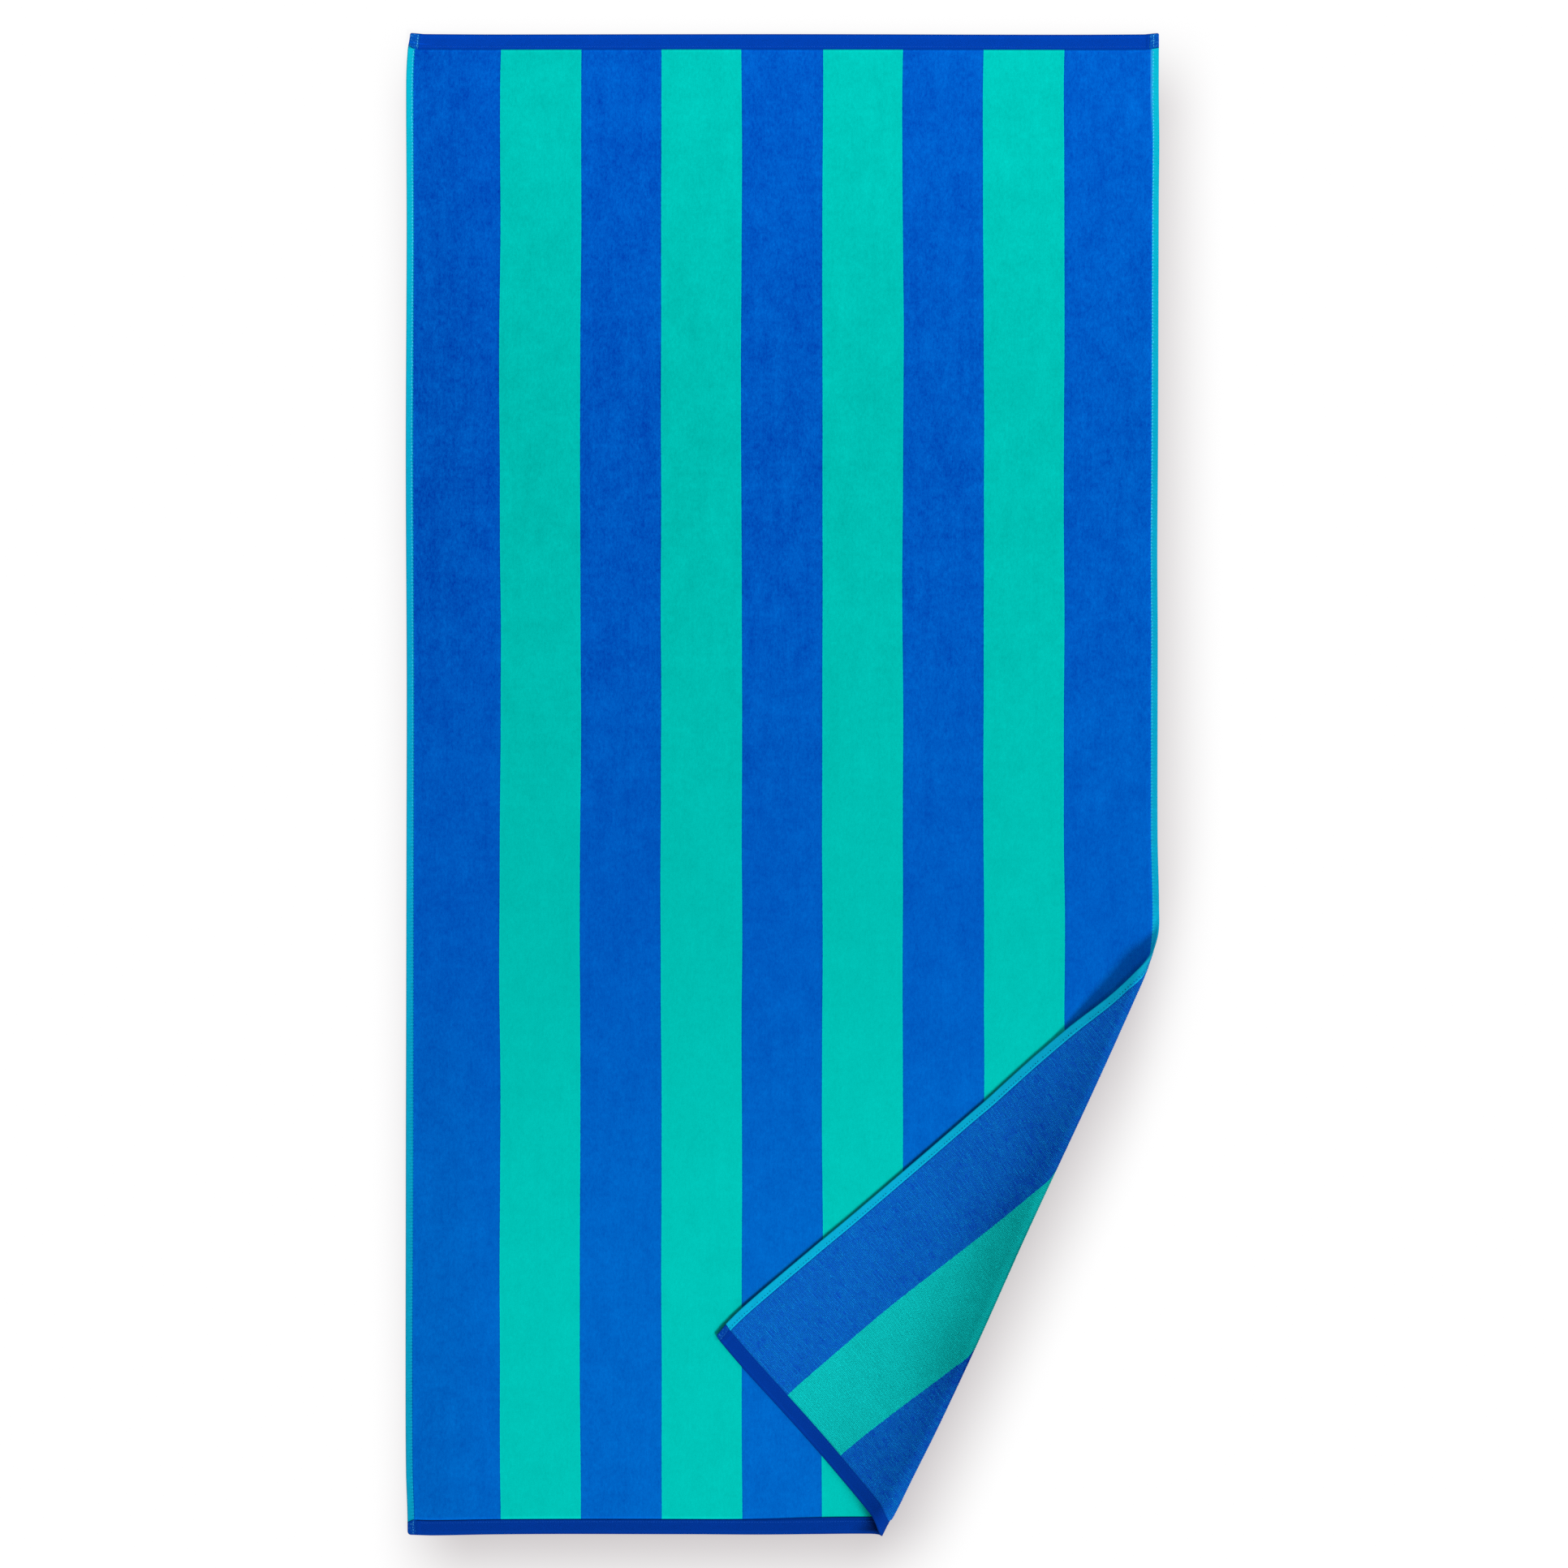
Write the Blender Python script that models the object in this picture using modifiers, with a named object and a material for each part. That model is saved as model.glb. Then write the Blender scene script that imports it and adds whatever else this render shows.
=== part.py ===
"""A beach towel lying face up on a surface, with its lower right corner turned over.

The towel is one woven cloth: velour on the face, terry loops on the back, and flat-woven hems
turned under along all four edges. It is drawn here by its back, which lies on the surface at z = 0.
Points of the flat cloth are (u, v): u runs to the right and v up the length, from the towel's centre.
place() carries each of them to where it lies, round the soft fold and onto the turned-over corner.
"""

import math

import bmesh
import bpy
from mathutils import Vector

# The cloth, in metres
WIDTH = 0.900
LENGTH = 1.796
PILE = 0.0032  # velour, ground weave and terry loops together
HEM = 0.0022  # turned flat weave
CORNER = 0.0030  # the ends of the end hems, where the side hem is sewn in
END_HEM = 0.0185
SIDE_HEM = 0.0078
CORNER_PATCH = 0.0140  # length of those ends along the end hem
PILE_STEP = 0.0012  # over which the pile rises beside a hem
STRIPE = 0.0964  # the inner stripes' width
INNER_STRIPES = 7  # between the two outer ones, which end at the side hems

# The fold: an ideal crease from the right side to the lower end, and the loop that the cloth makes there
CREASE_UP_SIDE = 0.7005  # from the corner, along the right side
CREASE_ALONG_END = 0.3203  # from the corner, along the lower end
LAYER_GAP = 0.0006
DESCENT = 0.075  # how far the upper layer takes to come down to the lower one
DESCENT_PER_RADIUS = 4.0
# The loop springs open at the two free edges and is lower between them. Its columns are the distance along the
# crease from the right side, the radius of the loop's middle surface, and how far the loop bulges out beyond an
# even fold, which stretches the cloth round it a little.
LOOP_ROWS = (
    (-0.010, 0.0112, 0.0),
    (0.015, 0.0098, 0.0012),
    (0.035, 0.0082, 0.0019),
    (0.070, 0.0074, 0.0020),
    (0.170, 0.0064, 0.0021),
    (0.360, 0.0076, 0.0014),
    (0.490, 0.0070, 0.0019),
    (0.620, 0.0080, 0.0015),
    (0.690, 0.0104, 0.0009),
    (0.735, 0.0118, 0.0007),
    (0.755, 0.0134, 0.0005),
    (0.790, 0.0136, 0.0),
)
RADIUS_ROWS = [(along, radius) for along, radius, bulge in LOOP_ROWS]
BULGE_ROWS = [(along, bulge) for along, radius, bulge in LOOP_ROWS]

# How far the edges stray from a true rectangle, outwards being positive
LEFT_ROWS = (
    (-0.898, -0.0022),
    (-0.870, -0.0019),
    (-0.820, -0.0002),
    (-0.710, 0.0003),
    (-0.400, -0.0002),
    (-0.100, -0.0007),
    (0.120, -0.0011),
    (0.400, 0.0),
    (0.660, -0.0010),
    (0.840, -0.0005),
    (0.877, -0.0023),
    (0.898, -0.0053),
)
RIGHT_ROWS = (
    (-0.898, -0.0033),
    (-0.876, 0.0),
    (-0.845, 0.0014),
    (-0.740, 0.0004),
    (-0.680, -0.0008),
    (-0.480, -0.0014),
    (-0.430, 0.0008),
    (-0.390, 0.0025),
    (-0.330, 0.0027),
    (-0.270, -0.0006),
    (-0.150, 0.0011),
    (-0.060, -0.0007),
    (0.180, -0.0005),
    (0.280, -0.0010),
    (0.420, -0.0002),
    (0.700, 0.0008),
    (0.770, 0.0014),
    (0.830, 0.0007),
    (0.898, 0.0008),
)
LOWER_ROWS = (
    (-0.450, 0.0),
    (-0.420, 0.0009),
    (-0.343, -0.0002),
    (-0.250, -0.0007),
    (-0.110, -0.0005),
    (-0.030, 0.0),
    (0.045, -0.0006),
    (0.090, -0.0010),
    (0.220, 0.0),
    (0.300, 0.0006),
    (0.400, 0.0030),
    (0.440, 0.0026),
    (0.450, 0.0016),
)
UPPER_ROWS = (
    (-0.450, -0.0002),
    (-0.430, -0.0015),
    (-0.100, -0.0013),
    (0.100, -0.0015),
    (0.430, -0.0018),
    (0.450, -0.0003),
)

# Where the single layer's edges and corners lift off the surface: place, reach along u and v, height
LIFTS = (
    (-0.450, 0.898, 0.110, 0.140, 0.0030),
    (0.450, 0.898, 0.120, 0.110, 0.0022),
    (-0.450, 0.330, 0.045, 0.210, 0.0018),
    (-0.450, -0.420, 0.050, 0.160, 0.0022),
    (-0.450, -0.898, 0.090, 0.100, 0.0020),
    (0.450, 0.420, 0.060, 0.190, 0.0024),
    (0.040, 0.898, 0.180, 0.050, 0.0016),
    (-0.160, -0.898, 0.130, 0.045, 0.0015),
)
# Where the turned-over corner stands clear of the layer below, in the same columns
FLAP_LIFTS = (
    (0.450, -0.265, 0.085, 0.105, 0.0075),
    (0.450, -0.560, 0.050, 0.120, 0.0004),
    (0.450, -0.898, 0.100, 0.110, 0.0011),
    (0.210, -0.898, 0.075, 0.070, 0.0040),
)
# The turned-over cloth is dragged along the crease beside the loop, which slants its stripes there.
DRAG_ROWS = (  # distance along the crease from the right side, drag
    (-0.020, -0.0030),
    (0.020, -0.0030),
    (0.060, 0.0012),
    (0.130, 0.0065),
    (0.280, 0.0170),
    (0.500, 0.0190),
    (0.640, 0.0090),
    (0.720, 0.0020),
    (0.780, 0.0),
)
DRAG_START = -0.020  # where it begins in the lower layer, across the crease
DRAG_FULL = 0.012
DRAG_REACH = 0.115
NOSE_PUSH = 0.0098  # how far the lower hem's loop is pushed out along the crease
NOSE_DRAW = 0.0024  # and drawn in across it
NOSE_ACROSS = 0.030
NOSE_ALONG = 0.070
HEM_EASE = 0.003  # over which the pile beside that hem follows it inwards

# Fineness of the mesh
CELL = 0.075
OUTER_ROW = 0.398  # a further row of cells along each side
STRIP_CELL = 0.028
TIGHT_HALF = 0.012  # the strip of the flat cloth, each side of the crease, that every part of the loop takes up
TIGHT_CUTS = 15
LOOSE_HALF = 0.024  # and the wider strip that its loosest parts take up
LOOSE_CUTS = 5
DESCENT_CUTS = 8

COLOURS = {  # in the order of colour_of
    "end_hem_navy": (0.000, 0.042, 0.400, 1.0),
    "side_hem_cyan": (0.001, 0.370, 0.610, 1.0),
    "velour_blue": (0.000, 0.095, 0.520, 1.0),
    "velour_green": (0.000, 0.520, 0.460, 1.0),
}
ROUGHNESS = 0.95

SIDE_POINT = Vector((WIDTH / 2, CREASE_UP_SIDE - LENGTH / 2))
END_POINT = Vector((WIDTH / 2 - CREASE_ALONG_END, -LENGTH / 2))
ALONG = (END_POINT - SIDE_POINT).normalized()
ACROSS = Vector((-ALONG.y, ALONG.x))  # towards the corner that is turned over


def curve(rows, x):
    """A smooth curve through the rows' points, level beyond its ends."""
    if x <= rows[0][0]:
        return rows[0][1]
    for i in range(len(rows) - 1):
        (x0, y0), (x1, y1) = rows[i], rows[i + 1]
        if x > x1:
            continue
        before = rows[max(i - 1, 0)]
        after = rows[min(i + 2, len(rows) - 1)]
        slope0 = (y1 - before[1]) / (x1 - before[0]) if i else 0.0
        slope1 = (after[1] - y0) / (after[0] - x0) if i + 2 < len(rows) else 0.0
        step = x1 - x0
        s = (x - x0) / step
        return (
            y0 * (1 + 2 * s) * (1 - s) ** 2
            + y1 * s * s * (3 - 2 * s)
            + step * (slope0 * s * (1 - s) ** 2 - slope1 * s * s * (1 - s))
        )
    return rows[-1][1]


def bump(distance, reach):
    """A bump that falls smoothly from 1 at no distance to 0 at its reach."""
    return 0.5 + 0.5 * math.cos(math.pi * min(abs(distance) / reach, 1.0))


def lifted(u, v, rows):
    """Height that the lifted places of a table give a point of the flat cloth."""
    return sum(lift * bump(u - at_u, reach_u) * bump(v - at_v, reach_v) for at_u, at_v, reach_u, reach_v, lift in rows)


def thickness(u, v):
    """Thickness of the cloth at a point: pile, hem, or the bulkier end of an end hem."""
    from_side = WIDTH / 2 - abs(u)
    from_end = LENGTH / 2 - abs(v)
    if from_end < END_HEM + PILE_STEP / 2:
        return CORNER if from_side < CORNER_PATCH + PILE_STEP / 2 else HEM
    return HEM if from_side < SIDE_HEM + PILE_STEP / 2 else PILE


def loop_tilt(radius, descent):
    """How steeply the upper layer starts down, so that it lands on the layer below."""
    landing = PILE + LAYER_GAP
    tilt = 0.0
    for _ in range(8):
        tilt = 3 * (radius * (1 + math.cos(tilt)) - landing) / descent
    return tilt


def section(across, radius, bulge):
    """The fold's section at a distance across the flat cloth: distance out, height and heading of its middle surface.

    The cloth bends back round an arc, then eases down to the layer below, ever more gently.
    """
    descent = DESCENT + DESCENT_PER_RADIUS * radius
    tilt = loop_tilt(radius, descent)
    bend = (math.pi + tilt) * radius
    slack = tilt**2 * descent / 10  # what the descent's slope takes off its reach
    start = -(bend - radius * math.sin(tilt) + slack) / 2 + bulge
    if across <= start:
        return across, 0.0, 0.0
    arc = (across - start) * (bend + descent) / (bend + descent - 2 * bulge)
    if arc <= bend:
        heading = arc / radius
        return start + radius * math.sin(heading), radius * (1 - math.cos(heading)), heading
    if arc >= bend + descent:
        return -across, PILE + LAYER_GAP, math.pi
    left = 1 - (arc - bend) / descent
    out = start - radius * math.sin(tilt) - (arc - bend) + slack * (1 - left**5)
    height = PILE + LAYER_GAP + tilt * descent / 3 * left**3
    return out, height, math.pi + tilt * left**2


def strayed(u, v):
    """The point of the flat cloth as its uneven edges lie."""
    left = curve(LEFT_ROWS, v) * -1
    right = curve(RIGHT_ROWS, v)
    lower = curve(LOWER_ROWS, u) * -1
    upper = curve(UPPER_ROWS, u)
    to_right = u / WIDTH + 0.5
    to_top = v / LENGTH + 0.5
    near_side = max(0.0, abs(2 * to_right - 1)) ** 2
    near_end = max(0.0, abs(2 * to_top - 1)) ** 6
    shift_u = (left * (1 - to_right) + right * to_right) * near_side
    shift_v = (lower * (1 - to_top) + upper * to_top) * near_end
    return Vector((u + shift_u, v + shift_v))


def place(u, v):
    """Where a point of the towel's back lies."""
    flat = strayed(u, v)
    along = (flat - SIDE_POINT).dot(ALONG)
    across = (flat - SIDE_POINT).dot(ACROSS)
    out, height, heading = section(across, curve(RADIUS_ROWS, along), curve(BULGE_ROWS, along))
    turned = (1 - math.cos(heading)) / 2
    # The back is half the pile away from the middle surface, and a thin hem sinks towards the layer below.
    out += PILE / 2 * math.sin(heading)
    height += PILE / 2 * (1 - math.cos(heading)) - (PILE - thickness(u, v)) * turned
    grown = min(max((across - DRAG_START) / (DRAG_FULL - DRAG_START), 0.0), 1.0)
    drag = curve(DRAG_ROWS, along) * (3 - 2 * grown) * grown**2 * bump(max(across - DRAG_FULL, 0.0), DRAG_REACH)
    at_nose = math.sin(heading / 2) ** 2 * bump(across, NOSE_ACROSS)
    push = NOSE_PUSH * at_nose * bump(v + LENGTH / 2, NOSE_ALONG)
    draw = NOSE_DRAW * at_nose * bump(max(v + LENGTH / 2 - END_HEM, 0.0), HEM_EASE)
    spot = SIDE_POINT + ACROSS * (out - draw) + ALONG * (along + drag + push)
    height += lifted(u, v, LIFTS) * (1 - turned) if across < 0 else 0.0
    height += lifted(u, v, FLAP_LIFTS) * turned
    return Vector((spot.x, spot.y, height))


def cut(mesh, faces, point, normal):
    """Cuts those faces along a line, given by a point on it and its normal, and returns all faces of the region."""
    edges = {e for f in faces for e in f.edges}
    verts = {v for f in faces for v in f.verts}
    made = bmesh.ops.bisect_plane(
        mesh,
        geom=[*faces, *edges, *verts],
        dist=1e-5,
        plane_co=(point[0], point[1], 0.0),
        plane_no=(normal[0], normal[1], 0.0),
    )
    return [g for g in made["geom"] if isinstance(g, bmesh.types.BMFace)]


def across_of(face):
    """Distance of a flat face's centre from the crease."""
    return (face.calc_center_median().xy - SIDE_POINT).dot(ACROSS)


def evenly(low, high, count):
    """The points that divide a stretch into that many equal parts, without its ends."""
    return [low + (high - low) * i / count for i in range(1, count)]


def stripe_lines():
    """Where the stripes change colour, from left to right."""
    return [STRIPE * (i - INNER_STRIPES / 2) for i in range(INNER_STRIPES + 1)]


def colour_of(u, v):
    """Which of the four materials shows at a point: end hem, side hem, or a stripe's blue or green."""
    if LENGTH / 2 - abs(v) < END_HEM:
        return 0
    if WIDTH / 2 - abs(u) < SIDE_HEM:
        return 1
    return 2 + sum(u > line for line in stripe_lines()) % 2


def flat_cloth():
    """The flat rectangle, cut along its hems, the fold and a grid."""
    mesh = bmesh.new()
    corners = [(x * WIDTH / 2, y * LENGTH / 2, 0.0) for x, y in ((-1, -1), (1, -1), (1, 1), (-1, 1))]
    faces = [mesh.faces.new([mesh.verts.new(c) for c in corners])]

    # Lines parallel to the crease, close together where the cloth bends
    lines = evenly(-TIGHT_HALF, TIGHT_HALF, TIGHT_CUTS)
    for i in range(LOOSE_CUTS):
        distance = TIGHT_HALF + (LOOSE_HALF - TIGHT_HALF) * i / (LOOSE_CUTS - 1)
        lines += [-distance, distance]
    lines += [LOOSE_HALF + DESCENT * 1.5 * (i / DESCENT_CUTS) ** 1.2 for i in range(1, DESCENT_CUTS + 1)]
    for distance in sorted(lines):
        faces = cut(mesh, faces, SIDE_POINT + ACROSS * distance, ACROSS)

    # The stripes, rows under the flat part, and lines square to the crease on the rest
    for u in stripe_lines():
        cut(mesh, list(mesh.faces), (u, 0.0), (1, 0))
    flat_part = [f for f in mesh.faces if across_of(f) < -LOOSE_HALF]
    for u in (-OUTER_ROW, OUTER_ROW):
        flat_part = cut(mesh, flat_part, (u, 0.0), (1, 0))
    for v in evenly(-LENGTH / 2, LENGTH / 2, round(LENGTH / CELL)):
        flat_part = cut(mesh, flat_part, (0.0, v), (0, 1))
    strip = [f for f in mesh.faces if across_of(f) > -LOOSE_HALF]
    crease_length = (END_POINT - SIDE_POINT).length
    for distance in evenly(-2 * CELL, crease_length + CELL, round(crease_length / STRIP_CELL)):
        strip = cut(mesh, strip, SIDE_POINT + ALONG * distance, ALONG)

    # Hems, the step where the pile begins beside them, and the ends of the end hems
    for side in (-1, 1):
        for distance in (SIDE_HEM, SIDE_HEM + PILE_STEP, CORNER_PATCH, CORNER_PATCH + PILE_STEP):
            cut(mesh, list(mesh.faces), (side * (WIDTH / 2 - distance), 0.0), (1, 0))
        for distance in (END_HEM, END_HEM + PILE_STEP):
            cut(mesh, list(mesh.faces), (0.0, side * (LENGTH / 2 - distance)), (0, 1))
    return mesh


def towel():
    """The folded cloth, as one closed solid."""
    cloth = flat_cloth()
    for face in cloth.faces:
        face.material_index = colour_of(*face.calc_center_median().xy)
    fullness = []
    for vertex in cloth.verts:
        u, v = vertex.co.xy
        fullness.append((thickness(u, v) - HEM) / (PILE - HEM))
        vertex.co = place(u, v)
    data = bpy.data.meshes.new("towel")
    cloth.to_mesh(data)
    cloth.free()
    piece = bpy.data.objects.new("towel", data)
    pile = piece.vertex_groups.new(name="pile")
    for index, weight in enumerate(fullness):
        pile.add([index], weight, "REPLACE")
    shell = piece.modifiers.new("Solidify", "SOLIDIFY")
    shell.thickness = PILE
    shell.offset = 1.0
    shell.use_even_offset = True
    shell.vertex_group = pile.name
    shell.thickness_vertex_group = HEM / PILE
    data.shade_smooth()
    data.set_sharp_from_angle(angle=math.radians(35))
    return piece


def cotton(name, colour):
    """A matt cotton."""
    material = bpy.data.materials.new(name)
    material.use_nodes = True
    shader = material.node_tree.nodes["Principled BSDF"]
    shader.inputs["Base Color"].default_value = colour
    shader.inputs["Roughness"].default_value = ROUGHNESS
    shader.inputs["Metallic"].default_value = 0.0
    return material


def main():
    for old in list(bpy.data.objects):
        bpy.data.objects.remove(old, do_unlink=True)
    collection = bpy.data.collections.new("beach_towel")
    bpy.context.scene.collection.children.link(collection)
    piece = towel()
    for name, colour in COLOURS.items():
        piece.data.materials.append(cotton(name, colour))
    collection.objects.link(piece)


main()
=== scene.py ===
"""The looks of a striped beach towel that lies face up with its lower right corner turned over.

The towel is one cloth: cut velour on the face, terry loops on the back, flat-woven hems turned under along
the four edges. Points of the flat cloth are (u, v) in metres: u runs to the right and v up the length, from
the towel's centre. place() carries them to where they lie, with the sizes and tables of the part's source.
"""

import math

import bmesh
import bpy
import numpy as np
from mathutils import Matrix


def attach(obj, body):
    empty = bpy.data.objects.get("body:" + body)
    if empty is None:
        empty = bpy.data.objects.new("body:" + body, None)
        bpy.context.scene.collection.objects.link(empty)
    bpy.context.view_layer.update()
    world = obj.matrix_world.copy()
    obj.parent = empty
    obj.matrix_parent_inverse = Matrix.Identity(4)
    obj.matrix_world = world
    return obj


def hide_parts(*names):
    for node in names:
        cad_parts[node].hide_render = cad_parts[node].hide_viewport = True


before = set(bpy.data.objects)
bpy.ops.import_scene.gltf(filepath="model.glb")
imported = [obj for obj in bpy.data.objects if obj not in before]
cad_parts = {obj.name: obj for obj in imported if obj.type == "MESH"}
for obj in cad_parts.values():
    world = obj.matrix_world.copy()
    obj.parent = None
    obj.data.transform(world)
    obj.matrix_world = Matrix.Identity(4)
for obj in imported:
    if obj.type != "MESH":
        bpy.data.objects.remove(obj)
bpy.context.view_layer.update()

# ---- the cloth's sizes, in metres, as in the part

WIDTH = 0.9
LENGTH = 1.796
PILE = 0.0032  # thickness of velour, ground weave and loops together
HEM = 0.0022
CORNER = 0.003  # the ends of the end hems
END_HEM = 0.0185
SIDE_HEM = 0.0078
CORNER_PATCH = 0.014
PILE_STEP = 0.0012
STRIPE = 0.0964
INNER_STRIPES = 7
CREASE_UP_SIDE = 0.7005
CREASE_ALONG_END = 0.3203
LAYER_GAP = 0.0006
LANDING = PILE + LAYER_GAP  # how high the turned-over layer's back lies
DESCENT = 0.075
DESCENT_PER_RADIUS = 4.0
LOOP_ROWS = (  # along the crease, radius, bulge
    (-0.01, 0.0112, 0.0), (0.015, 0.0098, 0.0012), (0.035, 0.0082, 0.0019), (0.07, 0.0074, 0.002),
    (0.17, 0.0064, 0.0021), (0.36, 0.0076, 0.0014), (0.49, 0.007, 0.0019), (0.62, 0.008, 0.0015),
    (0.69, 0.0104, 0.0009), (0.735, 0.0118, 0.0007), (0.755, 0.0134, 0.0005), (0.79, 0.0136, 0.0),
)
# How far each edge strays outward, at points along it.
LEFT_ROWS = (
    (-0.898, -0.0022), (-0.87, -0.0019), (-0.82, -0.0002), (-0.71, 0.0003), (-0.4, -0.0002),
    (-0.1, -0.0007), (0.12, -0.0011), (0.4, 0.0), (0.66, -0.001), (0.84, -0.0005), (0.877, -0.0023),
    (0.898, -0.0053),
)
RIGHT_ROWS = (
    (-0.898, -0.0033), (-0.876, 0.0), (-0.845, 0.0014), (-0.74, 0.0004), (-0.68, -0.0008),
    (-0.48, -0.0014), (-0.43, 0.0008), (-0.39, 0.0025), (-0.33, 0.0027), (-0.27, -0.0006),
    (-0.15, 0.0011), (-0.06, -0.0007), (0.18, -0.0005), (0.28, -0.001), (0.42, -0.0002),
    (0.7, 0.0008), (0.77, 0.0014), (0.83, 0.0007), (0.898, 0.0008),
)
LOWER_ROWS = (
    (-0.45, 0.0), (-0.42, 0.0009), (-0.343, -0.0002), (-0.25, -0.0007), (-0.11, -0.0005), (-0.03, 0.0),
    (0.045, -0.0006), (0.09, -0.001), (0.22, 0.0), (0.3, 0.0006), (0.4, 0.003), (0.44, 0.0026),
    (0.45, 0.0016),
)
UPPER_ROWS = (
    (-0.45, -0.0002), (-0.43, -0.0015), (-0.1, -0.0013), (0.1, -0.0015), (0.43, -0.0018),
    (0.45, -0.0003),
)
LIFTS = (  # u, v, reach along u, reach along v, height
    (-0.45, 0.898, 0.11, 0.14, 0.003), (0.45, 0.898, 0.12, 0.11, 0.0022),
    (-0.45, 0.33, 0.045, 0.21, 0.0018), (-0.45, -0.42, 0.05, 0.16, 0.0022),
    (-0.45, -0.898, 0.09, 0.1, 0.002), (0.45, 0.42, 0.06, 0.19, 0.0024),
    (0.04, 0.898, 0.18, 0.05, 0.0016), (-0.16, -0.898, 0.13, 0.045, 0.0015),
)
FLAP_LIFTS = (
    (0.45, -0.265, 0.085, 0.105, 0.0075), (0.45, -0.56, 0.05, 0.12, 0.0004),
    (0.45, -0.898, 0.1, 0.11, 0.0011), (0.21, -0.898, 0.075, 0.07, 0.004),
)
DRAG_ROWS = (  # along the crease, drag
    (-0.02, -0.003), (0.02, -0.003), (0.06, 0.0012), (0.13, 0.0065), (0.28, 0.017), (0.5, 0.019),
    (0.64, 0.009), (0.72, 0.002), (0.78, 0.0),
)
DRAG_START = -0.02
DRAG_FULL = 0.012
DRAG_REACH = 0.115
NOSE_PUSH = 0.0098
NOSE_DRAW = 0.0024
NOSE_ACROSS = 0.03
NOSE_ALONG = 0.07
HEM_EASE = 0.003

SIDE_POINT = np.array((WIDTH / 2, CREASE_UP_SIDE - LENGTH / 2))
END_POINT = np.array((WIDTH / 2 - CREASE_ALONG_END, -LENGTH / 2))
ALONG = (END_POINT - SIDE_POINT) / np.linalg.norm(END_POINT - SIDE_POINT)
ACROSS = np.array((-ALONG[1], ALONG[0]))

# ---- sizes of the fine surface

BACK_SIDE_HEM = 0.0097  # the side hem's width on the back
BACK_END_HEM = 0.0178
EDGE_RADIUS = 0.0011  # of the hems' turned edges
ROUNDING = 0.0022  # radius of the corners
LOWER_LEFT_ROUNDING = 0.0042
HEM_LINES = (0.0, 0.0001, 0.0004, 0.0008, 0.0013, 0.0022, 0.0036, 0.005, 0.006, 0.0069)
STEP_LINES = (0.0078, 0.0082, 0.0087, 0.0092, 0.0098, 0.0104, 0.011)
PATCH_LINES = (0.0125, 0.014, 0.0147, 0.0156, 0.0175)
END_LINES = (0.0085, 0.012, 0.015, 0.0166, 0.0176, 0.0185, 0.0189, 0.0194, 0.02, 0.0208, 0.0225)
CELL = 0.011
LOOP_CUT = 0.0013  # between the cuts along the fold
LOOP_REACH = 0.028
DESCENT_CUT = 0.0055
CONTACT_CUT = 0.0012  # and along the turned-over side hem, where its painted shadow lies
DESCENT_REACH = 0.135

FOLD_SHADE_ROWS = (  # distance inside the fold's edge, tone: painted shade along the fold, partly where the pile opens on the bend to show its ground; painted light further in
    (0.0, -0.38), (0.003, -0.24), (0.007, -0.2), (0.014, -0.185), (0.03, -0.16), (0.05, -0.095),
    (0.075, -0.04), (0.1, 0.0), (0.13, 0.03), (0.16, 0.07), (0.2, 0.09),
)
FOLD_SHADE_ALONG_ROWS = (  # along the crease, how strong the painted shade of the fold is
    (0.0, 0.55), (0.15, 0.55), (0.23, 0.95), (0.3, 1.15), (0.37, 1.6), (0.45, 1.45), (0.53, 1.55),
    (0.6, 0.85), (0.68, 0.6), (0.76, 0.4),
)
INSIDE_SHADE = -0.85  # tone of the painted shade on the face deep inside the fold's open lower end
INSIDE_SHADE_FROM = -0.044  # across the crease
INSIDE_SHADE_TO = -0.016
INSIDE_SHADE_REACH = 0.15  # up the cloth from its lower end
INSIDE_SHADE_LIP = (0.0005, 0.005)  # where the tone begins and is whole, beside the cloth's end
CONTACT_SHADOW = -1.25  # tone of the painted shadow on the face beside the turned-over side hem
CONTACT_FULL = 0.0016  # from the hem
CONTACT_REACH = 0.005
CONTACT_AT_FOLD = 0.4  # how much of it is left near the fold
CONTACT_FADES = (0.6, 0.95)  # shares of the hem's run
CONTACT_STARTS = (-0.004, 0.003)  # along the hem's run
CONTACT_ENDS = 0.97  # share of that run where it starts to end
CONTACT_UNDER = -0.01  # how far under the hem it goes on
HEM_AWAY = 0.012  # how far before the fold that run ends

SEED = 11
CLOTH_UV = "cloth"
NEAR = 2e-4  # between the points that a direction on the cloth is measured with


# ---- the cloth's shape


def curve(rows, x, column=1):
    """A smooth curve through the rows' points, level beyond its ends."""
    xs = np.array([row[0] for row in rows])
    ys = np.array([row[column] for row in rows])
    slopes = np.zeros(len(rows))
    slopes[1:-1] = (ys[2:] - ys[:-2]) / (xs[2:] - xs[:-2])
    x = np.clip(x, xs[0], xs[-1])
    i = np.clip(np.searchsorted(xs, x) - 1, 0, len(rows) - 2)
    step = xs[i + 1] - xs[i]
    s = (x - xs[i]) / step
    return (
        ys[i] * (1 + 2 * s) * (1 - s) ** 2
        + ys[i + 1] * s * s * (3 - 2 * s)
        + step * (slopes[i] * s * (1 - s) ** 2 - slopes[i + 1] * s * s * (1 - s))
    )


def bump(distance, reach):
    """A bump that falls smoothly from 1 at no distance to 0 at its reach."""
    return 0.5 + 0.5 * np.cos(np.pi * np.minimum(np.abs(distance) / reach, 1.0))


def rise(x, start, end):
    """0 before start, 1 after end, smooth between them."""
    s = np.clip((x - start) / (end - start), 0.0, 1.0)
    return s * s * (3 - 2 * s)


def lifted(u, v, rows):
    """Height that a table's lifted places give points of the flat cloth."""
    height = 0.0
    for at_u, at_v, reach_u, reach_v, lift in rows:
        height = height + lift * bump(u - at_u, reach_u) * bump(v - at_v, reach_v)
    return height


def from_side(u):
    return WIDTH / 2 - np.abs(u)


def from_end(v):
    return LENGTH / 2 - np.abs(v)


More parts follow.
